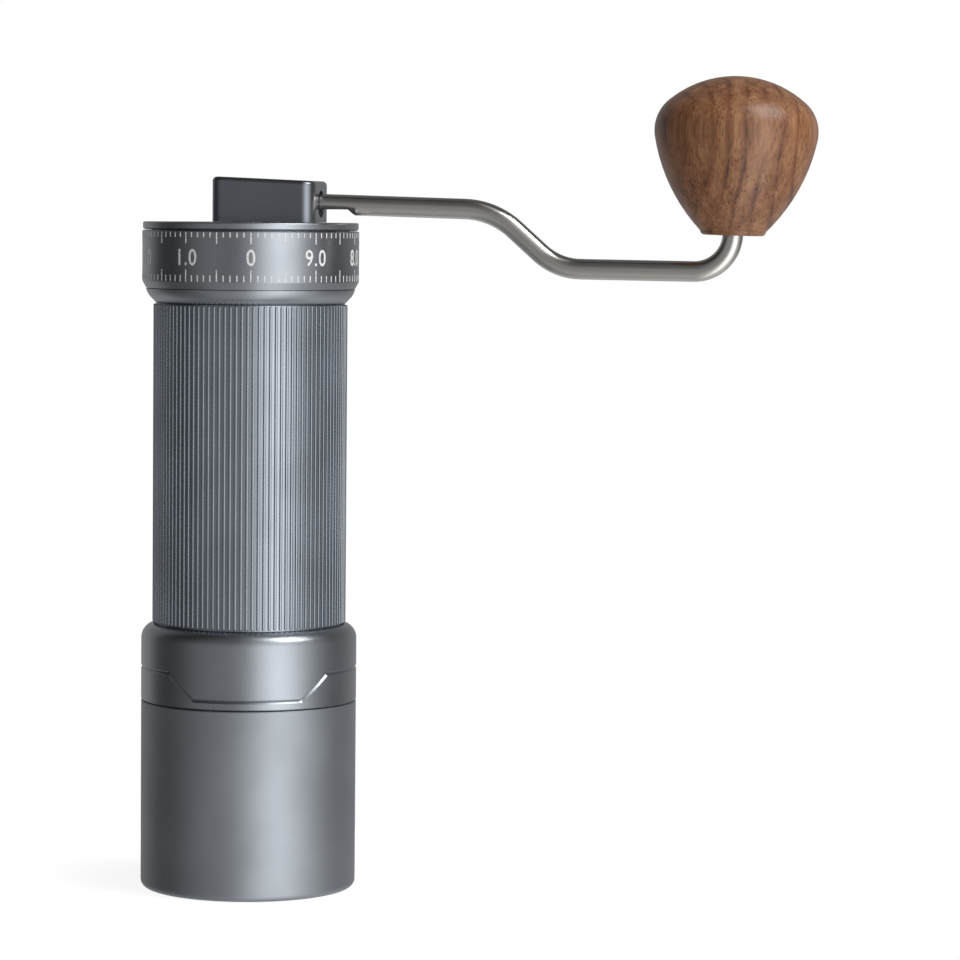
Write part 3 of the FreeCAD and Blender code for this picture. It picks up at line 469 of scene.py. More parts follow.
def rod_faces(rings: int, sides: int) -> list[tuple[int, ...]]:
    """Faces between rings of points that follow one another, closed at both ends.

    Args:
        rings: the number of rings.
        sides: the number of points in each.

    Returns:
        The faces as point numbers.
    """
    faces: list[tuple[int, ...]] = []
    for ring in range(rings - 1):
        for side in range(sides):
            a, b = ring * sides + side, ring * sides + (side + 1) % sides
            faces.append((a, b, b + sides, a + sides))
    return [*faces, tuple(reversed(range(sides))), tuple(range((rings - 1) * sides, rings * sides))]


def finished(name: str, mesh: Mesh, sharp_deg: float = CRISP_DEG,
             tidy: bool = True) -> Object:
    """Closes doubles, turns faces outwards, shades smoothly with crisp edges and links the object.

    Args:
        name: the piece's name.
        mesh: its mesh.
        sharp_deg: edges that turn more than this stay crisp.
        tidy: whether doubles are merged and normals recalculated.

    Returns:
        The linked object.
    """
    work = bmesh.new()
    work.from_mesh(mesh)
    if tidy:
        bmesh.ops.remove_doubles(work, verts=work.verts, dist=SAME_POINT)
        bmesh.ops.recalc_face_normals(work, faces=work.faces)
    for face in work.faces:
        face.smooth = True
    limit = radians(sharp_deg)
    for edge in work.edges:
        edge.smooth = len(edge.link_faces) == 2 and edge.calc_face_angle(0.0) < limit
    work.to_mesh(mesh)
    work.free()
    mesh.name = name
    return linked(name, mesh)


def dress(obj: Object, look: Look) -> Object:
    """Gives a piece one finish all over."""
    obj.data.materials.clear()
    obj.data.materials.append(look.material())
    return obj


def joined(name: str, objects: Iterable[Object]) -> Object:
    """Joins plain mesh objects into one piece and removes the originals.

    Args:
        name: the new piece's name.
        objects: objects at the origin whose meshes hold their place.

    Returns:
        The joined object, with the first object's materials.
    """
    objects = list(objects)
    whole = bmesh.new()
    for obj in objects:
        whole.from_mesh(obj.data)
    mesh = bpy.data.meshes.new(name)
    for material in objects[0].data.materials:
        mesh.materials.append(material)
    whole.to_mesh(mesh)
    whole.free()
    for obj in objects:
        bpy.data.objects.remove(obj)
    return finished(name, mesh, tidy=False)


@dataclass(frozen=True)
class Step:
    """A point of a turned profile in millimetres; a bend joins it to the point before by an arc.

    The profile runs up the outside, so a positive bend bulges outwards and a negative one inwards.
    """

    radius: float
    height: float
    bend: float = 0.0


def swept(centre: Vector, first: Vector, sweep: float, pieces: int) -> list[Point]:
    """Points along an arc round a centre.

    Args:
        centre: the arc's centre.
        first: its first point, from the centre.
        sweep: the angle that it covers, in radians, positive anticlockwise.
        pieces: the number of straight pieces.

    Returns:
        All its points, with both ends.
    """
    turns = [(cos(sweep * i / pieces), sin(sweep * i / pieces)) for i in range(pieces + 1)]
    return [(centre.x + first.x * c - first.y * s, centre.y + first.x * s + first.y * c)
            for c, s in turns]


def traced(steps: Sequence[Step], pieces: int = 10, hold: float = 0.05,
           long: float = 0.9) -> list[Point]:
    """The closed outline that joins a profile's points.

    Args:
        steps: the profile's points in order, up the outside and down the inside.
        pieces: the number of straight pieces in each arc.
        hold: how far inside a long straight run's ends extra points hold its shading flat.
        long: the shortest straight run that gets them.

    Returns:
        (radius, height) points in millimetres.
    """
    points: list[Point] = []
    for index, step in enumerate(steps):
        start = Vector((steps[index - 1].radius, steps[index - 1].height))
        end = Vector((step.radius, step.height))
        chord = end - start
        if not step.bend and chord.length > long:
            inwards = chord.normalized() * hold
            points += [tuple(start + inwards), tuple(end - inwards)]
        if step.bend:
            side = Vector((-chord.y, chord.x)).normalized()
            lift = sqrt(max(step.bend ** 2 - (chord.length / 2) ** 2, 0.0))
            centre = (start + end) / 2 + side * copysign(lift, step.bend)
            first, last = start - centre, end - centre
            sweep = atan2(first.x * last.y - first.y * last.x, first.dot(last))
            points += swept(centre, first, sweep, pieces)[1:-1]
        points.append((end.x, end.y))
    return points


def around(segments: int) -> list[float]:
    """Evenly spaced angles for a full turn."""
    return [TURN * i / segments for i in range(segments)]


def revolve(name: str, rows_at: Callable[[float], Sequence[Point]], angles: Sequence[float],
            sharp_deg: float = CRISP_DEG) -> Object:
    """Turns a closed outline about Z; the outline may change from angle to angle.

    Args:
        name: the piece's name.
        rows_at: gives the outline in millimetres at an angle, always with the same number of points.
        angles: the angles of the columns, in radians.
        sharp_deg: edges that turn more than this stay crisp.

    Returns:
        The finished object.
    """
    verts: list[Place] = []
    faces: list[tuple[int, ...]] = []
    for angle in angles:
        for radius, height in rows_at(angle):
            r = max(radius, 0.0) * MM
            verts.append((r * cos(angle), r * sin(angle), height * MM))
    rows = len(verts) // len(angles)
    for column in range(len(angles)):
        beside = (column + 1) % len(angles)
        for row in range(rows):
            above = (row + 1) % rows
            a, b = column * rows + row, beside * rows + row
            c, d = beside * rows + above, column * rows + above
            if hypot(*verts[a][:2]) > ON_AXIS or hypot(*verts[d][:2]) > ON_AXIS:
                faces.append((a, b, c, d))
    mesh = mesh_of(name, verts, faces)
    work = bmesh.new()
    work.from_mesh(mesh)
    bmesh.ops.remove_doubles(work, verts=work.verts, dist=SAME_POINT)
    bmesh.ops.dissolve_degenerate(work, edges=work.edges, dist=SAME_POINT)
    work.to_mesh(mesh)
    work.free()
    return finished(name, mesh, sharp_deg)


def turned(name: str, steps: Sequence[Step], sharp_deg: float = CRISP_DEG) -> Object:
    """A plain lathe part from its profile."""
    outline = traced(steps)
    return revolve(name, lambda angle: outline, around(ROUND), sharp_deg)


def ring_of_copies_tree() -> Tree:
    """Geometry nodes that set copies of one small solid round the Z axis, skipping some.

    The copy is drawn at angle 0. Inputs: Count (places in a full turn), Skip (the interval of the places
    that are left out, 0 for none) and Material.

    Returns:
        The node tree, made once.
    """
    made = bpy.data.node_groups.get("ring_of_copies")
    if made:
        return made
    tree = bpy.data.node_groups.new("ring_of_copies", "GeometryNodeTree")
    for label, kind in (("Geometry", "Geometry"), ("Count", "Int"), ("Skip", "Int"),
                        ("Material", "Material")):
        tree.interface.new_socket(label, in_out="INPUT", socket_type=f"NodeSocket{kind}")
    tree.interface.new_socket("Geometry", in_out="OUTPUT", socket_type="NodeSocketGeometry")
    given = add(tree, "NodeGroupInput").outputs
    points = add(tree, "GeometryNodePoints", {"Count": given["Count"]}).outputs[0]
    index = add(tree, "GeometryNodeInputIndex").outputs[0]
    between = maths(tree, "GREATER_THAN", maths(tree, "MODULO", index, given["Skip"]), 0.5)
    skipping_none = maths(tree, "LESS_THAN", given["Skip"], 0.5)
    chosen = maths(tree, "MAXIMUM", between, skipping_none)
    angle = maths(tree, "MULTIPLY", maths(tree, "DIVIDE", index, given["Count"]), TURN)
    turn = add(tree, "ShaderNodeCombineXYZ", {2: angle}).outputs[0]
    copies = add(tree, "GeometryNodeInstanceOnPoints", {"Points": points, "Selection": chosen,
                                                        "Instance": given["Geometry"], "Rotation": turn})
    solid = add(tree, "GeometryNodeRealizeInstances", {0: copies.outputs[0]}).outputs[0]
    painted = add(tree, "GeometryNodeSetMaterial", {"Geometry": solid, "Material": given["Material"]})
    add(tree, "NodeGroupOutput", {0: painted.outputs[0]})
    return tree


def copied_round(name: str, copy: Object, look: Look, count: int, skip: int = 0) -> Object:
    """Sets copies of a small solid round the Z axis and returns them as one plain mesh.

    Args:
        name: the new piece's name.
        copy: the solid, drawn at angle 0; it is used up.
        look: the finish of the copies.
        count: the number of places in a full turn.
        skip: each of this many places is left out; 0 leaves none out.

    Returns:
        The finished object.
    """
    tree = ring_of_copies_tree()
    modifier = copy.modifiers.new("ring", "NODES")
    modifier.node_group = tree
    settings = {"Count": count, "Skip": skip, "Material": look.material()}
    for item in tree.interface.items_tree:
        if item.in_out == "INPUT" and item.name in settings:
            modifier[item.identifier] = settings[item.name]
    mesh = evaluated(copy)
    mesh.materials.clear()
    mesh.materials.append(look.material())
    return finished(name, mesh, sharp_deg=50.0, tidy=False)


def place_piece(obj: Object, body: str, slot: str, *nodes: str) -> None:
    """Puts a piece on its body and hides the nodes that it stands for.

    Args:
        obj: the finished piece.
        body: the body that it rides on.
        slot: the record's material slot; not used.
        nodes: the nodes that it replaces; none for an added piece.
    """
    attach(obj, body)
    if nodes:
        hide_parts(*nodes)
    faces = sum(len(face.vertices) - 2 for face in obj.data.polygons)
    LOG.info("%s rides on %s, %d triangles", obj.name, body, faces)


# ---- sub-assemblies ----

@dataclass(frozen=True)
class CatchCup:
    """The cup that catches the ground coffee and holds to the housing with magnets."""

    radius: float = 28.95
    wall: float = 1.85
    floor: float = 3.0
    base_fillet: float = 2.0
    top: float = 50.75
    rim_wall: float = 3.15
    rim_height: float = 5.3
    taper: float = 2.0
    edge: float = 0.25
    magnet_stand: float = 0.08

    def build(self) -> None:
        """The turned shell; its rim sits a hair under the magnets' faces so that they show."""
        inner, rim = self.radius - self.wall, self.radius - self.rim_wall
        rim_low, top, bend = self.top - self.rim_height, self.top - self.magnet_stand, self.base_fillet
        shell = turned("cup_shell", [
            Step(0, 0), Step(self.radius - bend, 0), Step(self.radius, bend, bend),
            Step(self.radius, top - self.edge), Step(self.radius - self.edge, top), Step(rim, top),
            Step(rim, rim_low), Step(inner, rim_low - self.taper), Step(inner, self.floor + bend),
            Step(inner - bend, self.floor, -bend), Step(0, self.floor)])
        place_piece(dress(shell, Look.CUP), "cup", "cup_aluminium", "catch_cup")


@dataclass(frozen=True)
class BurrHousing:
    """The ring above the cup, with a V line cut round it that climbs at the sides."""

    radius: float = 28.97
    bottom: float = 50.85
    edge: float = 0.25
    shoulder_low: float = 67.5
    shoulder_bend: float = 4.05
    mouth: float = 26.35
    mouth_height: float = 71.28
    mouth_edge: float = 0.6
    top: float = 71.45
    spigot: float = 25.55
    spigot_bottom: float = 46.5
    burr_bore: float = 24.05
    tube_bore: float = 24.8
    lip: float = 22.5
    lip_low: float = 64.55
    lip_high: float = 66.0
    line_low: float = 53.25
    line_high: float = 59.8
    line_start_deg: float = 91.0
    low_half_deg: float = 29.8
    high_start_deg: float = 46.5
    line_width: float = 1.05
    line_depth: float = 0.42
    magnet_stand: float = 0.08
    segments: int = 480

    def line_height(self, degrees_from_front: float) -> Point:
        """The height of the engraved line and its slope at an angle from the front.

        Args:
            degrees_from_front: the angle round the axis from -Y.

        Returns:
            The height in millimetres and the rise per millimetre round the wall.
        """
        turned_by = abs((degrees_from_front + self.line_start_deg) % 180.0 - 90.0)
        span = self.high_start_deg - self.low_half_deg
        share = (turned_by - self.low_half_deg) / span
        eased = min(max(share, 0.0), 1.0)
        rise = self.line_high - self.line_low
        slope = rise / (radians(span) * self.radius) if 0.0 < share < 1.0 else 0.0
        return self.line_low + rise * eased, slope

    def outline(self, angle: float) -> list[Point]:
        """The housing's profile at an angle, with the V where the line runs there."""
        height, slope = self.line_height(degrees(angle) + 90.0)
        half = self.line_width / 2 * hypot(1.0, slope)
        low = self.bottom + self.magnet_stand
        wall, spigot = self.radius, self.spigot
        return traced([
            Step(self.burr_bore, self.spigot_bottom), Step(spigot, self.spigot_bottom), Step(spigot, low),
            Step(wall - self.edge, low), Step(wall, low + self.edge), Step(wall, height - half),
            Step(wall - self.line_depth, height), Step(wall, height + half), Step(wall, self.shoulder_low),
            Step(self.mouth, self.mouth_height, self.shoulder_bend),
            Step(self.mouth - self.mouth_edge, self.top), Step(self.tube_bore, self.top),
            Step(self.tube_bore, self.lip_high), Step(self.lip, self.lip_high),
            Step(self.lip, self.lip_low), Step(self.burr_bore, self.lip_low)])

    def build(self) -> None:
        """The housing, finely divided round the axis so that the line's corners stay crisp."""
        housing = revolve("burr_housing_shell", self.outline, around(self.segments), sharp_deg=25.0)
        place_piece(dress(housing, Look.BODY), "grinder", "body_aluminium", "burr_housing")


@dataclass(frozen=True)
class GripSleeve:
    """The sleeve round the body with upright ribs for the hand, broad on top with rounded edges."""

    bore: float = 24.8
    core: float = 25.62
    radius: float = 26.0
    bottom: float = 71.5
    top: float = 157.35
    foot: float = 0.3
    neck: float = 0.15
    neck_radius: float = 25.2
    ribs: int = 106
    rib_share: float = 0.52
    crown_power: float = 0.68
    root: float = 0.12
    end_length: float = 0.5
    end_shape: tuple[Point, ...] = ((0.0, 0.15), (0.06, 0.45), (0.2, 0.72), (0.45, 0.93), (1.0, 1.0),
                                    (1.15, 1.0))
    sides: int = 12

    def rib(self) -> Object:
        """One rib at angle 0: a low bar with a flattened round top that tapers off at both ends."""
        half = pi * self.core / self.ribs * self.rib_share
        low, high = self.bottom + self.foot, self.top - self.neck
        rows = [(low + e * self.end_length, s) for e, s in self.end_shape]
        rows += [(high - e * self.end_length, s) for e, s in reversed(self.end_shape)]
        verts: list[Place] = []
        for height, size in rows:
            ring = [(self.core - self.root, -half * size)]
            for side in range(self.sides + 1):
                turn = pi * (side / self.sides - 0.5)
                rise = max(cos(turn), 0.0) ** self.crown_power
                reach = copysign(abs(sin(turn)) ** self.crown_power, turn)
                ring.append((self.core + (self.radius - self.core) * size * rise, half * size * reach))
            ring.append((self.core - self.root, half * size))
            verts += [(x * MM, y * MM, height * MM) for x, y in ring]
        mesh = mesh_of("rib", verts, rod_faces(len(rows), len(verts) // len(rows)))
        return finished("rib", mesh, sharp_deg=60.0)

    def build(self) -> None:
        """The plain core with the ribs standing on it."""
        low, high = self.bottom + self.foot, self.top - self.neck
        core = turned("grip_core", [
            Step(self.bore, self.bottom), Step(self.neck_radius, self.bottom), Step(self.neck_radius, low),
            Step(self.core, low), Step(self.core, high), Step(self.neck_radius, high),
            Step(self.neck_radius, self.top), Step(self.bore, self.top)])
        ribs = copied_round("grip_ribs", self.rib(), Look.RIBS, self.ribs)
        sleeve = joined("grip_sleeve_ribbed", [dress(core, Look.RIBS), ribs])
        place_piece(sleeve, "grinder", "grip_aluminium", "grip_sleeve")


@dataclass(frozen=True)
class TopCollar:
    """The flared collar between the grip and the dial, with a narrow undercut band at its foot."""

    bore: float = 23.95
    foot: float = 25.25
    bottom: float = 157.4
    band_radius: float = 26.4
    band_top: float = 158.65
    radius: float = 28.0
    top: float = 161.3
    flare: float = 5.2

    def build(self) -> None:
        """The turned collar."""
        collar = turned("top_collar_turned", [
            Step(self.bore, self.bottom), Step(self.foot, self.bottom),
            Step(self.band_radius, self.band_top), Step(self.radius, self.top, self.flare),
            Step(self.bore, self.top)], sharp_deg=14.0)
        place_piece(dress(collar, Look.BODY), "grinder", "body_aluminium", "top_collar")


class Edge(Enum):
    """The two edges of the dial that carry tick marks; each holds the mark's start and its direction."""

    TOP = (176.5, -1.0)
    BOTTOM = (163.6, 1.0)


@dataclass(frozen=True)
class GrindDial:
    """The dial ring with ten numbers and a hundred ticks at both of its edges."""

    radius: float = 29.0
    foot: float = 28.0
    bottom: float = 161.5
    chamfer: float = 1.9
    top: float = 176.9
    edge: float = 0.25
    bore: float = 26.6
    shoulder: float = 24.1
    shoulder_low: float = 172.5
    shoulder_high: float = 174.6
    marks: int = 100
    numbers: int = 10
    long_every: int = 5
    tick_width: float = 0.3
    tick_short: Point = (1.3, 1.65)
    tick_long: Point = (3.0, 3.1)
    proud: float = 0.04
    sunk: float = 0.12
    digit_height: float = 4.3
    digit_middle: float = 169.95
    digit_squeeze: float = 0.86
    digit_swell: float = 0.007
    digit_spacing: float = 1.1
    digit_curve_pieces: int = 6

    def tick(self, edge: Edge, length: float) -> Object:
        """One tick at angle 0."""
        start, direction = edge.value
        low, high = sorted((start, start + direction * length))
        half, inner, outer = self.tick_width / 2, self.radius - self.sunk, self.radius + self.proud
        verts = [(x * MM, y * MM, z * MM) for z in (low, high)
                 for x, y in ((inner, -half), (outer, -half), (outer, half), (inner, half))]
        return finished("tick", mesh_of("tick", verts, rod_faces(2, 4)))

    def number(self, index: int) -> Object:
        """One number, wrapped on the dial."""
        curve = bpy.data.curves.new("digits", "FONT")
        curve.body = f"{index}.0" if index else "0"
        curve.align_x = "CENTER"
        curve.extrude = 1.0
        curve.resolution_u = self.digit_curve_pieces
        curve.offset = self.digit_swell
        curve.space_character = self.digit_spacing
        mesh = evaluated(linked("digits", curve))
        heights = [v.co.y for v in mesh.vertices]
        scale = self.digit_height / (max(heights) - min(heights))
        middle = (max(heights) + min(heights)) / 2
        facing = -pi / 2 - TURN * index / self.numbers
        for vert in mesh.vertices:
            outwards = self.proud if vert.co.z > 0 else -self.sunk
            angle = facing + vert.co.x * scale * self.digit_squeeze / self.radius
            reach = (self.radius + outwards) * MM
            vert.co = (reach * cos(angle), reach * sin(angle),
                       (self.digit_middle + (vert.co.y - middle) * scale) * MM)
        return finished(f"number_{index}", mesh, sharp_deg=40.0)

    def build(self) -> None:
        """The turned ring, and its painted marks as one piece."""
        bore, wall, top, edge = self.bore, self.radius, self.top, self.edge
        ring = turned("dial_ring_turned", [
            Step(bore, self.bottom), Step(self.foot, self.bottom), Step(wall, self.bottom + self.chamfer),
            Step(wall, top - edge), Step(wall - edge, top), Step(bore, top), Step(bore, self.shoulder_high),
            Step(self.shoulder, self.shoulder_high), Step(self.shoulder, self.shoulder_low),
            Step(bore, self.shoulder_low)], sharp_deg=20.0)
        place_piece(dress(ring, Look.DIAL), "dial", "dial_aluminium", "dial_ring")
        painted = [dress(self.number(index), Look.PAINT) for index in range(self.numbers)]
        for side, short, long in zip(Edge, self.tick_short, self.tick_long):
            painted.append(copied_round("short_ticks", self.tick(side, short), Look.PAINT, self.marks,
                                        self.long_every))
            painted.append(copied_round("long_ticks", self.tick(side, long), Look.PAINT,
                                        self.marks // self.long_every))
        marks = joined("dial_marks", painted)
        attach(marks, "dial")
        LOG.info("%s rides on dial, %d faces", marks.name, len(marks.data.polygons))


@dataclass(frozen=True)
class HopperLid:
    """The lid over the bean hopper, with a plug that fits the body tube."""

    radius: float = 28.85
    bottom: float = 177.4
    brim: float = 27.0
    brim_bottom: float = 177.05
    top: float = 179.15
    edge: float = 0.45
    bush_bore: float = 8.05
    bush_boss: float = 10.6
    bush_bottom: float = 174.6
    plug_bore: float = 19.4
    plug: float = 22.3
    plug_bottom: float = 173.6
    groove: float = 20.8
    groove_low: float = 174.5
    groove_high: float = 176.3

    def build(self) -> None:
        """The turned lid, with the seal's groove round its plug."""
        plug, bottom, edge = self.plug, self.bottom, self.edge
        lid = turned("hopper_lid_turned", [
            Step(self.bush_bore, self.bush_bottom), Step(self.bush_boss, self.bush_bottom),
            Step(self.bush_boss, bottom), Step(self.plug_bore, bottom),
            Step(self.plug_bore, self.plug_bottom), Step(plug, self.plug_bottom),
            Step(plug, self.groove_low), Step(self.groove, self.groove_low),
            Step(self.groove, self.groove_high), Step(plug, self.groove_high), Step(plug, bottom),
            Step(self.brim, bottom), Step(self.brim, self.brim_bottom),
            Step(self.radius - edge, self.brim_bottom), Step(self.radius, self.brim_bottom + edge),
            Step(self.radius, self.top - edge), Step(self.radius - edge, self.top, edge),
            Step(self.bush_bore, self.top)])
        place_piece(dress(lid, Look.BODY), "lid", "lid_aluminium", "hopper_lid")


@dataclass(frozen=True)
class CrankArm:
    """The bent steel rod from the hub to the spindle inside the knob."""

    radius: float = 2.725
    corners: tuple[Point, ...] = ((7.7, 184.44), (66.0, 183.0), (83.2, 167.65))
    heel_height: float = 167.25
    bends: tuple[float, ...] = (21.0, 16.5, 10.1)
    first_rings: int = 120
    ring_step: float = 0.2
    bend_piece_deg: float = 4.0
    bend_pieces_least: int = 6
    spindle: float = 30.0
    groove_low: float = 27.07
    groove_height: float = 0.86
    groove_radius: float = 2.2
    flat: float = 182.75
    flat_end: float = 27.0
    sides: int = 40
    edge: float = 0.35
    shortest_stride: float = 1e-6

    def path(self) -> list[tuple[Vector, float]]:
        """Points down the rod's middle in the arm's plane, each with the rod's radius there."""
        lean = radians(SPINDLE_LEAN_DEG)
        up, foot = Vector((sin(lean), cos(lean))), Vector(SPINDLE_FOOT)
        heel = foot - up * (foot.y - self.heel_height)
        corners = [*(Vector(corner) for corner in self.corners), heel, foot + up * self.spindle]
        start, ahead = corners[0], (corners[1] - corners[0]).normalized()
        middle = [start + ahead * (self.ring_step * ring) for ring in range(self.first_rings)]
        for index, bend in enumerate(self.bends, start=1):
            corner = corners[index]
            incoming = (corner - corners[index - 1]).normalized()
            outgoing = (corners[index + 1] - corner).normalized()
            turn = incoming.angle(outgoing)
            setback = bend * tan(turn / 2)
            centre = corner + (outgoing - incoming).normalized() * (bend / cos(turn / 2))
            first = corner - incoming * setback - centre
            sense = 1 if incoming.x * outgoing.y - incoming.y * outgoing.x > 0 else -1
            pieces = max(self.bend_pieces_least, int(degrees(turn) / self.bend_piece_deg))
            middle += [Vector(point) for point in swept(centre, first, sense * turn, pieces)]
        groove_high = self.groove_low + self.groove_height
        end = [(self.groove_low, self.radius), (self.groove_low, self.groove_radius),
               (groove_high, self.groove_radius), (groove_high, self.radius),
               (self.spindle - self.edge, self.radius), (self.spindle, self.radius - self.edge)]
        return [*((point, self.radius) for point in middle),
                *((foot + up * height, radius) for height, radius in end)]

    def build(self) -> None:
        """Rings along the path; by the hub the underside is milled flat, with a 45 degree run-out."""
        points = self.path()
        verts: list[Place] = []
        heading = radians(ARM_HEADING_DEG)
        c, s = cos(heading), sin(heading)
        along = Vector((1.0, 0.0))
        for index, (point, radius) in enumerate(points):
            after = points[min(index + 1, len(points) - 1)][0]
            stride = after - points[max(index - 1, 0)][0]
            if stride.length > self.shortest_stride:
                along = stride.normalized()
            normal = Vector((-along.y, along.x))
            for side in range(self.sides):
                turn = TURN * side / self.sides
                spot = point + normal * (radius * cos(turn))
                across, height, offset = spot.x, spot.y, radius * sin(turn)
                if across < self.flat_end + self.radius * 2:
                    height = max(height, self.flat - max(0.0, across - self.flat_end))
                verts.append(((across * c - offset * s) * MM, (across * s + offset * c) * MM, height * MM))
        mesh = mesh_of("crank_arm_rod", verts, rod_faces(len(points), self.sides))
        rod = dress(finished("crank_arm_rod", mesh, sharp_deg=24.0), Look.ROD)
        place_piece(rod, "handle", "arm_steel", "crank_arm")


@dataclass(frozen=True)
class Knob:
    """The turned walnut knob on the arm's spindle."""

    foot: float = 8.4
    foot_edge: float = 1.1
    foot_flare: float = 0.25
    foot_bend: float = 1.21
    waist: float = 21.33
    waist_height: float = 25.6
    side_bend: float = 46.7
    crown: float = 17.6
    crown_height: float = 35.2
    shoulder_bend: float = 10.3
    height: float = 41.6
    bore: float = 4.5
    bore_depth: float = 34.0

    def stand(self) -> Matrix:
        """The move from the knob's own axis to its place on the spindle."""
        reach, height = SPINDLE_FOOT
        return (Matrix.Rotation(radians(ARM_HEADING_DEG), 4, "Z")
                @ Matrix.Translation((reach * MM, 0, height * MM))
                @ Matrix.Rotation(radians(SPINDLE_LEAN_DEG), 4, "Y"))

    def build(self) -> None:
        """The lathed knob, with its own walnut set out along its axis."""
        rise = self.height - self.crown_height
        crown_bend = (self.crown ** 2 + rise ** 2) / (2 * rise)
        knob = turned("walnut_knob", [
            Step(self.bore, 0), Step(self.foot - self.foot_edge, 0),
            Step(self.foot + self.foot_flare, self.foot_edge, self.foot_bend),
            Step(self.waist, self.waist_height, self.side_bend),
            Step(self.crown, self.crown_height, self.shoulder_bend), Step(0, self.height, crown_bend),
            Step(0, self.bore_depth), Step(self.bore, self.bore_depth)])
        place = self.stand()
        knob.data.transform(place)
        walnut = OiledWalnut("oiled_walnut", "86583a", 0.36, centre=tuple(place.translation),
                             heading_deg=ARM_HEADING_DEG, lean_deg=SPINDLE_LEAN_DEG)
        knob.data.materials.clear()
        knob.data.materials.append(walnut.material())
        place_piece(knob, "knob", "walnut", "knob")


@dataclass(frozen=True)
class KeptNodes:
    """The inner parts, whose own shapes stay: each gets the finish of its slot."""

    looks: dict[str, Look] = field(default_factory=lambda: {
        "body_aluminium": Look.BODY, "cup_aluminium": Look.CUP, "grip_aluminium": Look.BODY,
        "dial_aluminium": Look.DIAL, "lid_aluminium": Look.BODY, "hub_aluminium": Look.HUB,
        "tube_steel": Look.TUBE, "bridge_aluminium": Look.BRIDGE, "burr_steel": Look.BURR,
        "bearing_steel": Look.BEARING, "cage_brass": Look.BRASS, "spring_steel": Look.SPRING,
        "fastener_steel": Look.FASTENER, "magnet_nickel": Look.NICKEL, "arm_steel": Look.ROD,
        "seal_rubber": Look.RUBBER, "bush_plastic": Look.BUSH})

    def build(self) -> None:
        """Sets each shown node's material from the record's slots."""
        slots = {part["node"]: part["material_slot"] for part in frame["record"]["subparts"]}
        for name, obj in frame["nodes"].items():
            look = self.looks.get(slots[name])
            if look is not None and not obj.hide_render:
                obj.data.materials.clear()
                obj.data.materials.append(look.material())
                LOG.info("%s keeps its shape, finish %s", name, look.value.name)


# ---- studio ----

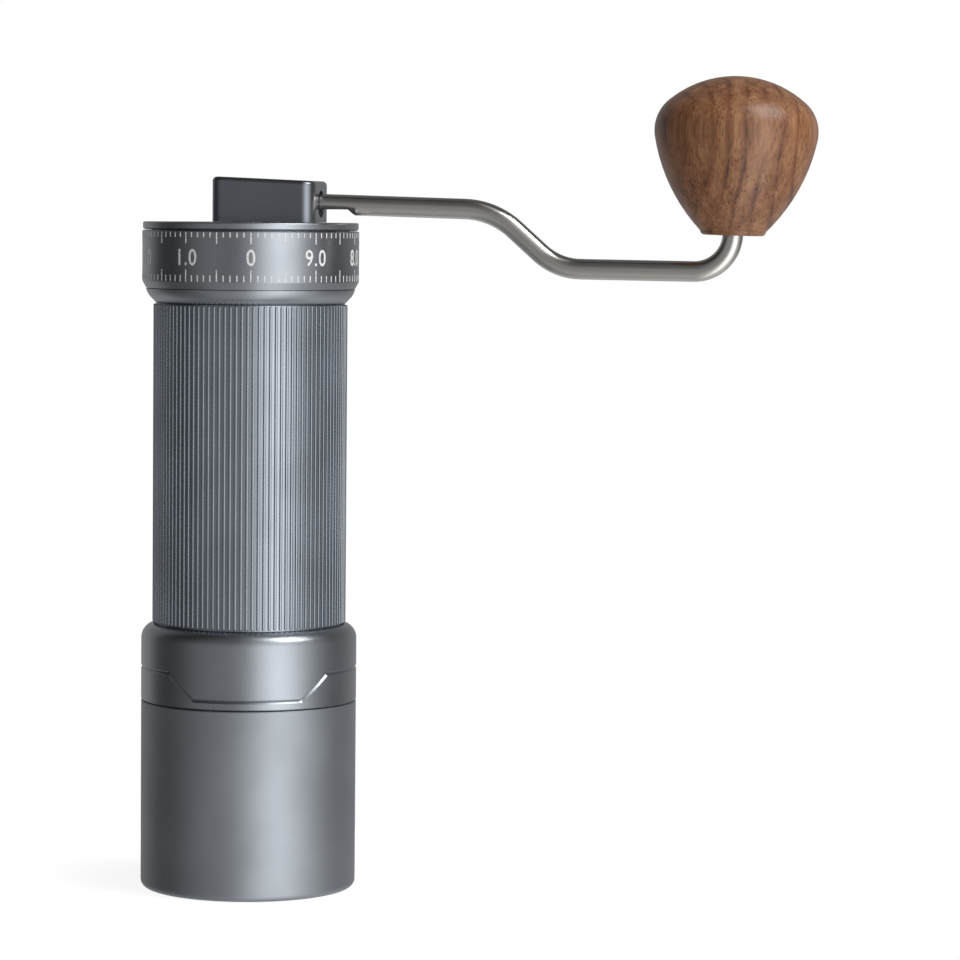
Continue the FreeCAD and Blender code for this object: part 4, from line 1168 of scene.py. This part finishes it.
@dataclass(frozen=True)
class Studio:
    """A white room: soft light that is banded by direction, a pale floor and the camera."""

    camera_place: Place = (0.0, -1.056, 0.1825)
    yaw_deg: float = 3.364
    pitch_deg: float = 3.909
    roll_deg: float = 0.520
    lens_mm: float = 147.23
    sensor_mm: float = 36.0
    clip: Point = (0.05, 50.0)
    floor_radius: float = 0.1
    floor_drop: float = 0.0002
    floor_sides: int = 96
    floor_fade: Point = (0.4, 0.9)
    floor_glow: Point = (0.88, 1.0)
    floor_grey: float = 0.3
    lamp_place: Place = (0.75, -0.45, 1.15)
    lamp_target: Place = (0.1, 0.0, 0.15)
    lamp_size: float = 0.7
    lamp_watts: float = 8.5
    bands: tuple[Point, ...] = (
        (-180, 0.4), (-135, 0.4), (-114, 0.09), (-92, 0.07), (-76, 0.12), (-58, 0.28), (-40, 0.34),
        (-18, 0.3), (0, 0.55), (14, 1.5), (30, 2.3), (46, 1.8), (60, 0.85), (80, 0.34), (104, 0.16),
        (122, 0.28), (140, 0.36), (180, 0.4))
    heights: tuple[Point, ...] = ((-1.0, 0.3), (-0.8, 0.6), (-0.5, 0.95), (0.0, 1.0), (0.15, 1.0),
                                  (0.35, 0.75), (0.7, 0.42), (1.0, 0.28))
    bounce: tuple[Point, ...] = ((-1.0, 0.55), (-0.8, 0.45), (-0.45, 0.12), (-0.15, 0.0), (1.0, 0.0))
    bounce_side: tuple[Point, Point] = ((-0.6, 0.6), (0.35, 1.2))

    def world(self) -> None:
        """Pure white behind the object, and for what it reflects banded light with a table's bounce.

        The bands go by the direction's angle round Z, the heights and the bounce by how far it points up.
        """
        world = bpy.data.worlds.new("studio")
        bpy.context.scene.world = world
        world.use_nodes = True
        tree = world.node_tree
        tree.nodes.clear()
        ray = add(tree, "ShaderNodeTexCoord").outputs["Generated"]
        x, y, z = add(tree, "ShaderNodeSeparateXYZ", {0: ray}).outputs
        azimuth = maths(tree, "ARCTAN2", x, maths(tree, "MULTIPLY", y, -1.0))
        share = mapped(tree, azimuth, (-pi, pi), (0.0, 1.0))
        peak = max(value for _, value in self.bands)
        bands = greys(tree, share, [((angle + 180) / 360, value / peak) for angle, value in self.bands])
        rise = mapped(tree, z, (-1.0, 1.0), (0.0, 1.0))
        heights = greys(tree, rise, [((up + 1) / 2, value) for up, value in self.heights])
        bounce = greys(tree, rise, [((up + 1) / 2, value / peak) for up, value in self.bounce])
        table = mixed(tree, 1.0, bounce, mapped(tree, x, *self.bounce_side), "MULTIPLY")
        light = mixed(tree, 1.0, mixed(tree, 1.0, bands, heights, "MULTIPLY"), table, "ADD")
        banded = add(tree, "ShaderNodeBackground", {0: light, 1: peak}).outputs[0]
        plain = add(tree, "ShaderNodeBackground", {0: grey(1.0), 1: 1.0}).outputs[0]
        seen = add(tree, "ShaderNodeLightPath").outputs["Is Camera Ray"]
        shown = add(tree, "ShaderNodeMixShader", {0: seen, 1: banded, 2: plain}).outputs[0]
        add(tree, "ShaderNodeOutputWorld", {0: shown})

    def floor(self) -> None:
        """A white round floor that melts into the background and keeps a faint contact shadow.

        It is small so that the cup still shows when it is drawn down past it.
        """
        verts = [(self.floor_radius * cos(angle), self.floor_radius * sin(angle), -self.floor_drop)
                 for angle in around(self.floor_sides)]
        mesh = mesh_of("floor", verts, [tuple(range(self.floor_sides))])
        floor = linked("floor", mesh)
        paint = bpy.data.materials.new("studio_floor")
        paint.use_nodes = True
        tree = paint.node_tree
        tree.nodes.clear()
        reach = add(tree, "ShaderNodeVectorMath", {"operation": "LENGTH", 0: object_place(tree)})
        near, far = (share * self.floor_radius for share in self.floor_fade)
        fade = mapped(tree, reach.outputs["Value"], (near, far), self.floor_glow)
        glow = add(tree, "ShaderNodeEmission", {0: grey(1.0), 1: fade}).outputs[0]
        matt = add(tree, "ShaderNodeBsdfDiffuse", {0: grey(self.floor_grey)}).outputs[0]
        shown = add(tree, "ShaderNodeAddShader", {0: glow, 1: matt}).outputs[0]
        add(tree, "ShaderNodeOutputMaterial", {0: shown})
        for kind in ("visible_diffuse", "visible_glossy", "visible_transmission", "visible_shadow"):
            setattr(floor, kind, False)
        mesh.materials.append(paint)

    def lamp(self) -> None:
        """One square soft light, high on the right in front."""
        light = bpy.data.lights.new("top_right", "AREA")
        light.size, light.energy = self.lamp_size, self.lamp_watts
        lamp = linked("top_right", light)
        lamp.location = self.lamp_place
        ahead = Vector(self.lamp_target) - Vector(self.lamp_place)
        lamp.rotation_euler = ahead.to_track_quat("-Z", "Y").to_euler()

    def camera(self) -> None:
        """A long lens at the height of the crank, turned a little down and to the right."""
        yaw, pitch = radians(self.yaw_deg), radians(self.pitch_deg)
        level = cos(pitch)
        ahead = Vector((sin(yaw) * level, cos(yaw) * level, -sin(pitch)))
        data = bpy.data.cameras.new("camera")
        data.lens, data.sensor_width = self.lens_mm, self.sensor_mm
        data.clip_start, data.clip_end = self.clip
        camera = linked("camera", data)
        camera.location = self.camera_place
        roll = Matrix.Rotation(radians(self.roll_deg), 3, "Z")
        camera.rotation_euler = (ahead.to_track_quat("-Z", "Y").to_matrix() @ roll).to_euler()
        bpy.context.scene.camera = camera

    def build(self) -> None:
        """Everything round the object."""
        self.world()
        self.floor()
        self.lamp()
        self.camera()
        view = bpy.context.scene.view_settings
        view.view_transform = "Standard"
        view.look = "None"


def main() -> None:
    """Builds the scene piece by piece."""
    Studio().build()
    for part in (CatchCup(), BurrHousing(), GripSleeve(), TopCollar(), GrindDial(), HopperLid(), CrankArm(),
                 Knob(), KeptNodes()):
        part.build()


if __name__ == "__main__":
    logging.basicConfig(level=logging.INFO, format="%(name)s: %(message)s")
    main()
